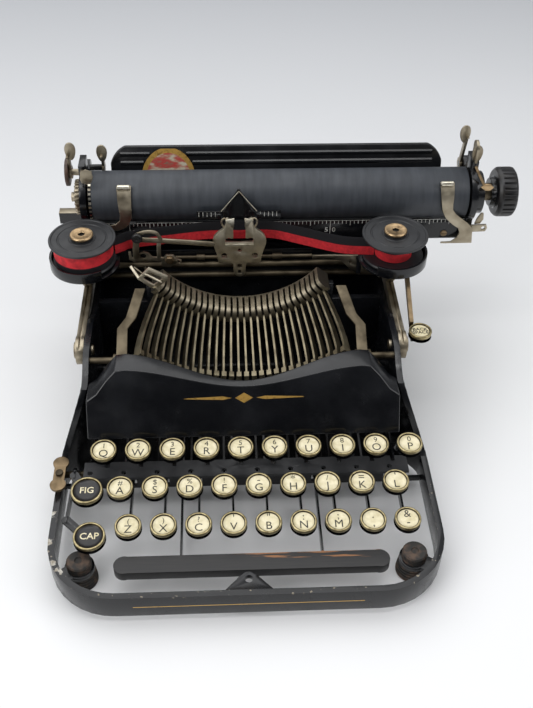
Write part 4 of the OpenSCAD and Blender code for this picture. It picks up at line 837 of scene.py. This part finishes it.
class TYPEWRITER_OT_linkage(bpy.types.Operator):
    """Ribbon linkage, yoke, shaft and brackets round the type guide"""

    bl_idname = "typewriter.linkage"
    bl_label = "Ribbon linkage"

    def left_linkage(self):
        """Ribbon arm, its arch, legs and brackets, a bolt and a knurled screw."""
        plated = [plate(name, strap_points(path, width), 1.2, facing(y), FINE_EDGE) for name, path, width, y in (
            ("ribbon_arm", [(-61, 101.2), (-48, 100.2), (-30, 98.6), (-16.6, 97.2)], 3.2, 202),
            ("arch", smooth_path([(-62.5, 105.2), (-57, 107), (-51, 106.2), (-48.2, 101.5)], 4), 2.2, 201.8),
            ("leg", [(-63.2, 101), (-64, 94), (-64.2, 88)], 4, 202.2),
            ("leg", [(-49.6, 99.5), (-50.2, 88)], 2.6, 202.2),
        )]
        foot = [(-69, 90.4), (-67.6, 90.4), (-67.2, 86), (-64.6, 85.6), (-62.6, 89), (-59.4, 90.6), (-56.4, 89.4),
                (-54.6, 86.6), (-47.6, 86), (-46.6, 83.4), (-66, 83), (-69, 84.4)]
        ear = [(-49.4, 79), (-49, 84.6), (-46, 87.8), (-41.4, 87.6), (-39, 84.6), (-36.4, 83.6), (-36.6, 81.4),
               (-40.4, 81), (-43.4, 78.4)]
        plated.append(plate("bracket_foot", foot, 1.4, facing(204.6), FINE_EDGE, [(-60, 87.2, 1.8)]))
        plated.append(plate("bracket_ear", ear, 1.4, facing(204.8), FINE_EDGE, [(-38, 82.4, 0.7)]))
        bolt = lathe("bolt", [(0, 0), (3, 0), (3, 1.5), (2.5, 2), (0, 2.1)], placed(-43.8, 203.4, 84.4, "X"), 6)
        for path in ([(-66.4, 201, 80.6), (-60.8, 200.6, 75)], [(-59.6, 201, 80.6), (-55.6, 200.6, 73)]):
            plated.append(rod("link", path, 0.8))
        screw = lathe("knurled_screw", [
            (0, 0), (3.1, 0), (3.3, 0.4), (3.3, 2), (2.9, 2.5), (1.2, 2.5), (1, 2.1), (0, 2.1)],
            placed(-62.5, 200.8, 103.4, "X"), 24)
        pieces = all_in("aged_nickel", *plated) + [coated(bolt, "worn_bronze"), coated(screw, "turned_ebonite")]
        settle(join("ribbon_linkage", pieces), "fold")

    def yoke(self):
        """Pierced yoke with its bar, pin and stem at the segment's left end."""
        outline = [(-61.6, 93.6), (-54.4, 101.6), (-43.4, 95.4), (-43.8, 92.2), (-50.6, 86.2), (-53.6, 86.6)]
        yoke = plate("yoke", outline, 1.3, facing(173.3))
        window = plate("window", [(-58.2, 93.8), (-54, 98.4), (-46.2, 93.8), (-52, 88.8)], 4, facing(175))
        round_edges(cut(yoke, window), FINE_EDGE * MM)
        bars = [rod(name, path, radius) for name, path, radius in (
            ("yoke_bar", [(-57, 172.4, 97.2), (-47.4, 172.4, 90.6)], 0.8),
            ("yoke_pin", [(-60.6, 172.4, 94), (-65.4, 178, 98.6)], 0.9),
            ("yoke_stem", [(-51.6, 172.8, 87.4), (-49.8, 173.4, 83.4)], 1.4),
        )]
        settle(join("segment_yoke", all_in("bright_nickel", yoke, *bars)), "base")

    def right_bracket(self):
        """Bracket, guide pin and wire beside the right spool."""
        outline = [(46, 82.4), (58, 82.6), (64.6, 80.6), (70.4, 74), (76, 69.4), (90, 69), (90, 72.4), (81.6, 73.4),
                   (80, 84.6), (69, 84.8), (60, 85.2), (46, 85)]
        bracket = plate("right_bracket", outline, 1.4, facing(205.6), FINE_EDGE, [(70.4, 79.4, 1.1)])
        pin = lathe("guide_pin", [(0, 72.8), (1.6, 72.8), (1.6, 83.4), (2.1, 83.6), (2.1, 84.6), (0, 84.8)],
                    placed(75.6, 202.4, 0), 20)
        wire = rod("guide_wire", [(79, 203.4, 85.6), (80.4, 202.8, 80), (84, 201.6, 74), (89.4, 200.4, 70.4)], 0.5)
        finishes = ((bracket, "aged_nickel"), (pin, "baked_black_lacquer"), (wire, "polished_nickel"))
        settle(join("right_ribbon_bracket", [coated(*each) for each in finishes]), "fold")

    def execute(self, context):
        self.left_linkage()
        self.yoke()
        # Painted shade: a black strip behind the rails darkens the gap under the ribbon
        strip = plate("painted_shade_strip", oblong(-88, 77.1, 88, 86.4), 0.8, facing(210.8))
        dress(strip, "fold", "japanned_black", "baked_black_lacquer")
        shaft = lathe("feed_shaft", [
            (0, -44), (1.2, -44), (1.2, -27), (2, -27), (2, -22), (1.2, -22), (1.2, 21), (2, 21), (2, 27), (1.2, 27),
            (1.2, 46), (0, 46)], placed(0, 208.2, 82.4, "Y"), 16)
        # The shaft is nickel painted dark as shade
        dress(shaft, "fold", "nickel_plate", "dim_nickel")
        self.right_bracket()
        return {"FINISHED"}


class TYPEWRITER_OT_keys(bpy.types.Operator):
    """Letter keys: ring, card face and printed legend on each packed lever"""

    bl_idname = "typewriter.keys"
    bl_label = "Keys"

    # The finishes after the ring, the cup and the face, in the order of a head's and a legend's slots
    PRINT = ("ink_and_painted_shade", "baked_black_lacquer", "key_card")
    INK, PALE = 3, 5

    def head(self, radius, face):
        """One key head turned as a cup, with its ring, an inner wall and cup painted dark as shade, and a sunk face,
        its top on the origin.
        """
        r, sink, tall = radius / MM, sizes().face_sink / MM, sizes().key_height / MM
        piece = lathe("key_head", [
            (0, -tall), (r * 0.55, -tall), (r - 0.9, -tall + 1.1), (r - 0.15, -tall + 2.3), (r, -0.7), (r - 0.15, -0.2),
            (r - 0.55, 0), (r - 1.1, -0.08), (r - 1.45, -0.4), (r - 1.6, -sink), (r * 0.5, -sink + 0.06),
            (0, -sink + 0.1)])
        coated(piece, "key_ring_metal", "key_cup_painted_shade", face, *self.PRINT)
        # Painted shade: the cup's sides under the ring and the ring's inner wall take the dark finish
        for each in piece.data.polygons:
            out, height = each.center.xy.length / MM, each.center.z / MM
            if height < -1.6 or (out < r - 1.2 and height < -0.2):
                each.material_index = 1
            if out < r - 1.65 and height > -sink - 0.1:
                each.material_index = 2
        return piece

    def word(self, text, height, spot, index, weight, shift=0.0):
        """A legend on a key's face, with the finishes of the head that it joins."""
        down = Matrix.Translation((0, shift * MM, -sizes().face_sink + 0.1 * MM))
        piece = lettering(text, height, spot @ down, weight)
        coated(piece, "key_ring_metal", "key_cup_painted_shade", "key_card", *self.PRINT)
        for each in piece.data.polygons:
            each.material_index = index
        return piece

    def finish_key(self, node, spot, pattern, words, more=()):
        """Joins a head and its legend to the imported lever, cut off under the cup."""
        lever = packed_copy(node)
        trimmed(lever, spot @ Vector((0, 0, -sizes().key_height + 0.05 * MM)), spot.to_3x3() @ Vector((0, 0, 1)))
        coated(lever, "baked_black_lacquer")
        head = copy_of(pattern, node + "_head", spot)
        settle(join(node + "_dressed", [head, *words, lever, *more]), node, [node], 50)

    def execute(self, context):
        s = sizes()
        tilt = Matrix.Rotation(math.radians(KEY_TILT), 4, "X")
        letter = self.head(s.key_radius, "key_card")
        names = list(LEGENDS)
        for row, keys in enumerate((names[:10], names[10:19], names[19:])):
            for place, name in enumerate(keys):
                x = 7 * MM + (s.key_pitch / 4 if row == 2 else 0) + (place - (len(keys) - 1) / 2) * s.key_pitch
                y, z = 80 * MM - row * s.row_step, 46 * MM - row * s.row_drop
                spot = placed(x / MM, y / MM, z / MM) @ tilt
                upper, lower = LEGENDS[name]
                mark = s.mark * (1.4 if upper in "-=*'\":;.&" else 1)
                words = [self.word(lower, s.letter, spot, self.INK, 0, -2.3),
                         self.word(upper, mark, spot, self.INK, 0, 2.8)]
                self.finish_key(name, spot, letter, words)
        discard(letter)
        shift = self.head(s.shift_radius, "turned_ebonite")
        for node, text, *middle in (("upper_shift_key", "FIG", -87, 59, 37), ("lower_shift_key", "CAP", -84.5, 35, 28)):
            spot = placed(*middle) @ tilt
            self.finish_key(node, spot, shift, [self.word(text, 3.9 * MM, spot, self.PALE, 0.07)])
        discard(shift)
        back = self.head(s.back_radius, "key_card")
        spot = placed(108.5, 153, 66)
        rear = trimmed(packed_copy("backspace_key"), at(0, 160.1, 0), (0, -1, 0))
        words = [self.word("BACK\nSPACE", 2.5 * MM, spot, self.INK, 0.06)]
        self.finish_key("backspace_key", spot, back, words, [coated(rear, "worn_bronze")])
        discard(back)
        return {"FINISHED"}


class TYPEWRITER_OT_space_bar(bpy.types.Operator):
    """Rounded wooden space bar on its two black arms"""

    bl_idname = "typewriter.space_bar"
    bl_label = "Space bar"

    def execute(self, context):
        bar = packed_copy("space_bar")
        round_edges(bar, 1.2 * MM, 4, angle=40)
        coated(bar, "stained_wood", "baked_black_lacquer")
        # The arms behind and under the wooden bar are lacquered
        finish_faces(bar, 1, lambda c, n: c.y > 28.2 or c.z < 12.8)
        settle(bar, "space_bar", ["space_bar"])
        return {"FINISHED"}


class TYPEWRITER_OT_feet(bpy.types.Operator):
    """Ribbed rubber feet in the frame's corners"""

    bl_idname = "typewriter.feet"
    bl_label = "Feet"

    def execute(self, context):
        ribs = [(0, 0), (8.6, 0), (9, 0.5)]
        for i in range(4):
            z, r = 1.2 + i * 1.9, 9 - i * 0.22
            ribs += [(r, z), (r - 1.4, z + 0.4), (r - 1.4, z + 0.9), (r, z + 1.3)]
        ribs += [(8, 9), (4.4, 9), (4.4, 12), (6.8, 12)]
        for z in (12.9, 14.4):
            ribs += [(6.8, z), (5.6, z + 0.3), (5.6, z + 0.7), (6.8, z + 1)]
        ribs += [(6.7, 16.6), (6.0, 17.4), (2.2, 17.5), (1.8, 16.8), (0, 16.8)]
        foot = lathe("foot", ribs, steps=36)
        places = [(s * x, y) for s in (-1, 1) for x, y in ((90.5, 27), (77, 201))]
        feet = [copy_of(foot, "foot_copy", placed(x, y, 0)) for x, y in places]
        discard(foot)
        settle(coated(join("ribbed_feet", feet), "foot_rubber"), "base", ["rubber_feet"])
        return {"FINISHED"}


class TYPEWRITER_OT_ribbon(bpy.types.Operator):
    """Spools with their thumb nuts, wound ribbon and the ribbon's run through the guide"""

    bl_idname = "typewriter.ribbon"
    bl_label = "Ribbon and spools"

    def execute(self, context):
        s = sizes()
        for side, x, roll in (("left", -SPOOL_X, 18.0), ("right", SPOOL_X, 11.5)):
            spot = placed(x, SPOOL_Y, 0)
            body = "spool_" + side
            discs = lathe(body + "_discs", [
                (2.6, 91), (19, 91), (19.1, 91.8), (18.6, 92.5), (5.4, 92.5), (5.4, 105.5), (19.6, 105.5),
                (20.2, 105.9), (20.2, 106.7), (19.9, 107.1), (18.8, 107.1), (18.4, 106.7), (15.2, 106.7),
                (14.8, 106.3), (14.2, 106.3),
                (13.8, 106.7), (8.2, 106.7), (7.8, 107.1), (6.4, 107.1), (6.2, 108.1), (2.6, 108.1)], spot, 64)
            settle(coated(discs, "dull_black"), body, [body])
            wound = lathe(body + "_roll", [
                (5.5, 92.7), (roll - 0.3, 92.7), (roll, 93), (roll, 105.1), (roll - 0.3, 105.4), (5.5, 105.4)], spot)
            dress(wound, body, "red_ribbon", "wound_ribbon_" + side)
            nut = lathe(body + "_nut", [
                (0, 108.2), (6.4, 108.2), (6.9, 108.5), (7, 108.9), (7, 109.5), (6.6, 110), (5.4, 110.1),
                (5, 109.9), (2.2, 109.9), (1.9, 109.6), (1.9, 108.4), (0, 108.4)], spot, 40)
            coated(nut, "aged_brass", "ink_and_painted_shade")
            middle = Vector((x, SPOOL_Y, 0))
            # The hole in the nut is painted dark as shade
            finish_faces(nut, 1, lambda c, n: (c - middle).xy.length < 1.95 and c.z < 109.7)
            settle(nut, body)
        route = [(-76.4, 199), (-71, 202.4), (-66, 205), (-45, 209.2), (-20.5, 213.4), (0, 213.6), (20.5, 213.4),
                 (40, 205.6), (62.5, 196.4), (82.7, 194)]
        path = smooth_path([at(x, y, RIBBON_Z) for x, y in route])
        run = draw("ribbon_run", path, False)
        bpy.ops.mesh.select_mode(type="EDGE")
        bpy.ops.mesh.select_all(action="SELECT")
        bpy.ops.mesh.extrude_region_move(TRANSFORM_OT_translate={"value": (0, 0, s.ribbon_width)})
        pick(run)
        shape(run, "SOLIDIFY", thickness=s.ribbon_thickness, offset=0)
        settle(coated(run, "inked_ribbon"), "fold", ["ribbon"])
        return {"FINISHED"}


class TYPEWRITER_OT_carriage(bpy.types.Operator):
    """Platen, knob, paper fingers, end levers and the marks of the scales"""

    bl_idname = "typewriter.carriage"
    bl_label = "Carriage"

    def ticks(self, name, x, y, z, height, pitch, count, body):
        """A row of painted marks, one of them drawn and then repeated."""
        wide = sizes().tick_width / MM
        tick = plate(name, oblong(x, z, x + wide, z + height), 0.08, facing(y))
        shape(tick, "ARRAY", count=count, use_relative_offset=False, use_constant_offset=True,
              constant_offset_displace=(pitch, 0, 0))
        dress(tick, body, "japanned_black", "scale_white")

    def marks(self):
        """Marks, figures and rule of the line scale, and the marks of the card holder."""
        pitch, zero = sizes().tick_pitch, -69
        self.ticks("scale_marks", zero - 17.78, SCALE_Y + 0.05, 97.2, 2.2, pitch, 90, "carriage")
        self.ticks("scale_fives", zero - 12.7, SCALE_Y + 0.04, 96, 3.4, pitch * 5, 18, "carriage")
        self.ticks("scale_tens", zero, SCALE_Y + 0.03, 88.6, 10.8, pitch * 10, 8, "carriage")
        figures = []
        for tens in range(8):
            for text, side in ((str(tens), -1), ("0", 1)):
                x = zero + 10 * tens * pitch / MM + 0.2 + side * 2.4
                if tens or side > 0:
                    spot = facing(SCALE_Y) @ Matrix.Translation((x * MM, 92.6 * MM, 0))
                    figures.append(lettering(text, 3.4 * MM, spot, 0.06))
        dress(join("scale_figures", figures), "carriage", "japanned_black", "scale_white")
        rule = plate("scale_rule", oblong(-92, 99.5, 144, 99.75), 0.08, facing(SCALE_Y + 0.05))
        dress(rule, "carriage", "japanned_black", "scale_white")
        for name, x in (("card_marks_left", -25), ("card_marks_right", 13)):
            self.ticks(name, x, 214.5, 108.4, 3.2, pitch, 5, "fold")

    def finger(self, outline, span, tip_x):
        """A spring finger: straight before the scale, then bent round the platen, with a roller at its tip."""
        near, far = PLATEN_R + 0.6, PLATEN_R + 1.4
        inner, outer = (ring_points(PLATEN_Y, PLATEN_Z, r, 126, 54, 14) + [(PLATEN_Y - r, 82)] for r in (near, far))
        piece = wrapped("finger", outline, inner + list(reversed(outer)), span)
        round_edges(piece, FINE_EDGE * MM, 1)
        tip = ring_points(PLATEN_Y, PLATEN_Z, far + 0.9, 131)[0]
        roller = lathe("roller", [(0.4, -3.9), (1.3, -3.9), (1.6, -3.5), (1.6, 3.5), (1.3, 3.9), (0.4, 3.9)],
                       placed(tip_x, *tip, "Y"), 20)
        return [coated(piece, "aged_nickel"), coated(roller, "polished_nickel")]

    def knob(self):
        """The ribbed knob with rounded shoulders, its dark hub and plated neck."""
        along = placed(0, PLATEN_Y, PLATEN_Z, "Y")
        knob = packed_copy("platen_knob")
        form = lathe("form", [
            (0, 150), (6, 150), (6, 163.2), (12, 163.2), (14.2, 163.7), (15.5, 165.2), (15.9, 167), (15.9, 173),
            (15.4, 174.8), (14, 175.9), (12, 176.3), (0, 176.3)], along, 96)
        cut(knob, form, "INTERSECT")
        # The neck is nickel painted dark as shade
        coated(knob, "turned_ebonite", "dim_nickel")
        finish_faces(knob, 1, lambda c, n: c.x < 163.4)  # the neck
        hub = lathe("hub", [(5.6, 160.4), (8.6, 160.4), (9.2, 161), (9.2, 163.3), (10.6, 163.7), (5.6, 163.7)], along)
        coated(hub, "baked_black_lacquer")
        settle(join("turned_knob", [knob, hub]), "platen", ["platen_knob"])

    def fingers(self):
        """The two paper fingers, each with its own outline seen from the front."""
        left = [(-75.2, 130), (-65.8, 130), (-66.2, 112), (-66.6, 106), (-68.6, 101), (-72, 98), (-76, 96.6),
                (-82, 96.4), (-82, 100.4), (-77, 101.4), (-74.2, 104), (-73.6, 108), (-74.4, 116)]
        right = [(125.1, 130), (134.6, 130), (134.2, 113), (134.6, 109), (137, 105.6), (141.4, 102), (146.4, 98),
                 (149.2, 94.4), (150.4, 83.4), (130, 83.4), (130, 84.6), (136.4, 84.8), (140, 88), (141, 91.6),
                 (139.8, 95), (135.6, 98), (131, 102.4), (128, 108), (126.6, 114)]
        pieces = self.finger(left, (-84, -64), -70.5) + self.finger(right, (124, 152), 129.6)
        settle(join("paper_finger_plates", pieces), "paper_fingers", ["paper_fingers"])

    def ends(self):
        """Leaf and screws at the carriage's ends, and the brass lever with its diamond tip."""
        leaf = [(-96, 131), (-95.4, 136.4), (-92, 138), (-88.6, 136.6), (-88, 132.6), (-89.4, 128.8), (-92.4, 127.6),
                (-95, 128.6)]
        tab = [(147, 90.4), (147, 95.6), (158.4, 96), (159.4, 93.4), (158.4, 90.8)]
        spur = [(151, 95.4), (154.6, 95.6), (156.4, 99), (155.8, 103.6), (154.2, 103.8), (152, 99.6)]
        diamond = [(150.6, 122.8), (153.6, 120.6), (157, 120.6), (159, 122.8), (156.4, 125), (153.4, 125)]
        pieces = all_in(
            "aged_nickel", plate("leaf", leaf, 0.9, facing(223), FINE_EDGE),
            rod("stem", [(-95, 222.8, 132), (-95.6, 229, 132.6), (-95.8, 236, 131)], 0.9),
            plate("end_tab", tab, 1.2, facing(221), FINE_EDGE, [(156.6, 93.4, 1.2)]),
            plate("end_spur", spur, 1.0, facing(222.4), FINE_EDGE))
        pieces += all_in(
            "aged_brass", rod("brass_stem", [(146.4, 226, 135), (149.4, 223.6, 129.6), (152.6, 222, 124)], 0.9),
            plate("brass_tip", diamond, 1.6, facing(222.6), 0.4))
        settle(join("carriage_end_levers", pieces), "carriage")
        heads = []
        for x, z in ((132, 89), (-86, 89)):
            head = lathe("screw", [(0, 0), (2.2, 0), (2.2, 0.5), (1.8, 0.9), (0, 1.0)], placed(x, SCALE_Y, z, "X"), 24)
            slot = plate("slot", oblong(x - 3, z - 0.3, x + 3, z + 0.3), 1, facing(SCALE_Y - 0.5))
            heads.append(cut(head, slot))
        dress(join("scale_screws", heads), "carriage", "nickel_plate", "worn_bronze")

    def execute(self, context):
        platen = packed_copy("platen")
        round_edges(platen, 0.4 * MM, 2)
        coated(platen, "platen_rubber", "aged_nickel")
        middle = Vector((0, PLATEN_Y, PLATEN_Z))
        finish_faces(platen, 1, lambda c, n: (
            not PLATEN_LEFT - 0.1 < c.x < PLATEN_RIGHT + 0.1 or (c - middle).yz.length < 5))
        settle(platen, "platen", ["platen"])
        teeth = lathe("ratchet_tooth_ring", [(15.4, 0), (16.3, 0), (16.3, 1.6), (15.4, 1.6)],
                      placed(PLATEN_LEFT + 0.1, PLATEN_Y, PLATEN_Z, "Y"), 72)
        coated(teeth, "polished_nickel", "baked_black_lacquer")
        for face in teeth.data.polygons:
            turn = math.atan2(face.center.z - at(0, 0, PLATEN_Z).z, face.center.y - at(0, PLATEN_Y, 0).y)
            face.material_index = int(turn * 36 / math.pi + 72) % 2
        settle(teeth, "platen")
        self.knob()
        self.marks()
        self.fingers()
        self.ends()
        return {"FINISHED"}


class TYPEWRITER_OT_stage(bpy.types.Operator):
    """Pale table, soft light and the camera"""

    bl_idname = "typewriter.stage"
    bl_label = "Stage"

    def execute(self, context):
        scene = context.scene
        start()
        bpy.ops.mesh.primitive_circle_add(vertices=64, radius=4, fill_type="NGON")
        floor = coated(context.active_object, "pale_table")
        floor.name = "table"
        for name, place, aim, size, power in (
            ("overhead", (-0.4, 0.45, 1.5), (0, 0, 0), (2.4, 2.4), 22.0),
            ("window", (-1.3, -0.9, 1.1), (0, 0, 0.05), (1.0, 1.0), 11.0),
            ("fill", (1.2, -0.5, 1.0), (0, 0, 0.05), (0.8, 0.8), 5.0),
            ("strip", (0.0, -0.2, 1.3), (0, 0.05, 0.1), (1.4, 0.06), 2.0),
        ):
            bpy.ops.object.light_add(type="AREA", location=place)
            lamp = context.active_object
            lamp.name = name
            lamp.data.shape = "RECTANGLE"
            lamp.data.size, lamp.data.size_y = size
            lamp.data.energy = power
            lamp.rotation_euler = (Vector(aim) - Vector(place)).to_track_quat("-Z", "Y").to_euler()
        world = bpy.data.worlds.new("studio")
        world.use_nodes = True
        tree = world.node_tree
        sky = add_node(tree, "ShaderNodeTexCoord").outputs["Generated"]
        part = add_node(tree, "ShaderNodeSeparateXYZ", {"Vector": sky})
        high = add_node(tree, "ShaderNodeMapRange", {
            "Value": part.outputs["Z"], "From Min": 0.1, "From Max": 0.8, "To Min": 0.22, "To Max": 0.65})
        # The room behind the camera is dark
        room = add_node(tree, "ShaderNodeMapRange", {
            "Value": part.outputs["Y"], "From Min": -0.85, "From Max": -0.25, "To Min": 0.15, "To Max": 1.0})
        both = {0: high.outputs["Result"], 1: room.outputs["Result"]}
        strength = add_node(tree, "ShaderNodeMath", both, operation="MULTIPLY").outputs[0]
        background = tree.nodes["Background"].inputs
        background["Color"].default_value = tint("#eef0f3")
        tree.links.new(strength, background["Strength"])
        scene.world = world
        scene.view_settings.view_transform = "Standard"

        yaw, pitch, roll = (math.radians(a) for a in (3.328, 42.312, 1.120))
        forward = Vector((math.sin(yaw) * math.cos(pitch), math.cos(yaw) * math.cos(pitch), -math.sin(pitch)))
        level = Vector((math.cos(yaw), -math.sin(yaw), 0))
        above = level.cross(forward)
        right = math.cos(roll) * level + math.sin(roll) * above
        up = math.cos(roll) * above - math.sin(roll) * level
        bpy.ops.object.camera_add()
        camera = context.active_object
        turn = Matrix((right, up, -forward)).transposed().to_4x4()
        camera.matrix_world = placed(-9.522, -271.516, 435.731) @ turn
        # 47.54 mm on a 36 mm frame: the photograph's 708 rows span the longer side
        camera.data.lens = 47.54
        camera.data.sensor_width = 36
        camera.data.clip_start, camera.data.clip_end = 0.01, 20
        scene.camera = camera
        return {"FINISHED"}


class TYPEWRITER_PT_panel(bpy.types.Panel):
    """Lists the pieces of the typewriter"""

    bl_label = "Typewriter"
    bl_space_type = "VIEW_3D"
    bl_region_type = "UI"
    bl_category = "Typewriter"

    def draw(self, context):
        for each in OPERATORS:
            self.layout.operator(each.bl_idname)


OPERATORS = (
    TYPEWRITER_OT_castings,
    TYPEWRITER_OT_paper_table,
    TYPEWRITER_OT_metalwork,
    TYPEWRITER_OT_type_guide,
    TYPEWRITER_OT_linkage,
    TYPEWRITER_OT_keys,
    TYPEWRITER_OT_space_bar,
    TYPEWRITER_OT_feet,
    TYPEWRITER_OT_ribbon,
    TYPEWRITER_OT_carriage,
    TYPEWRITER_OT_stage,
)
CLASSES = (TypewriterSizes, TypewriterColours, *OPERATORS, TYPEWRITER_PT_panel)


def register():
    for each in CLASSES:
        bpy.utils.register_class(each)
    bpy.types.Scene.typewriter_sizes = PointerProperty(type=TypewriterSizes)
    bpy.types.Scene.typewriter_colours = PointerProperty(type=TypewriterColours)


def unregister():
    del bpy.types.Scene.typewriter_colours
    del bpy.types.Scene.typewriter_sizes
    for each in reversed(CLASSES):
        bpy.utils.unregister_class(each)


def main():
    register()
    for each in OPERATORS:
        group, name = each.bl_idname.split(".")
        getattr(getattr(bpy.ops, group), name)()


if __name__ == "__main__":
    main()
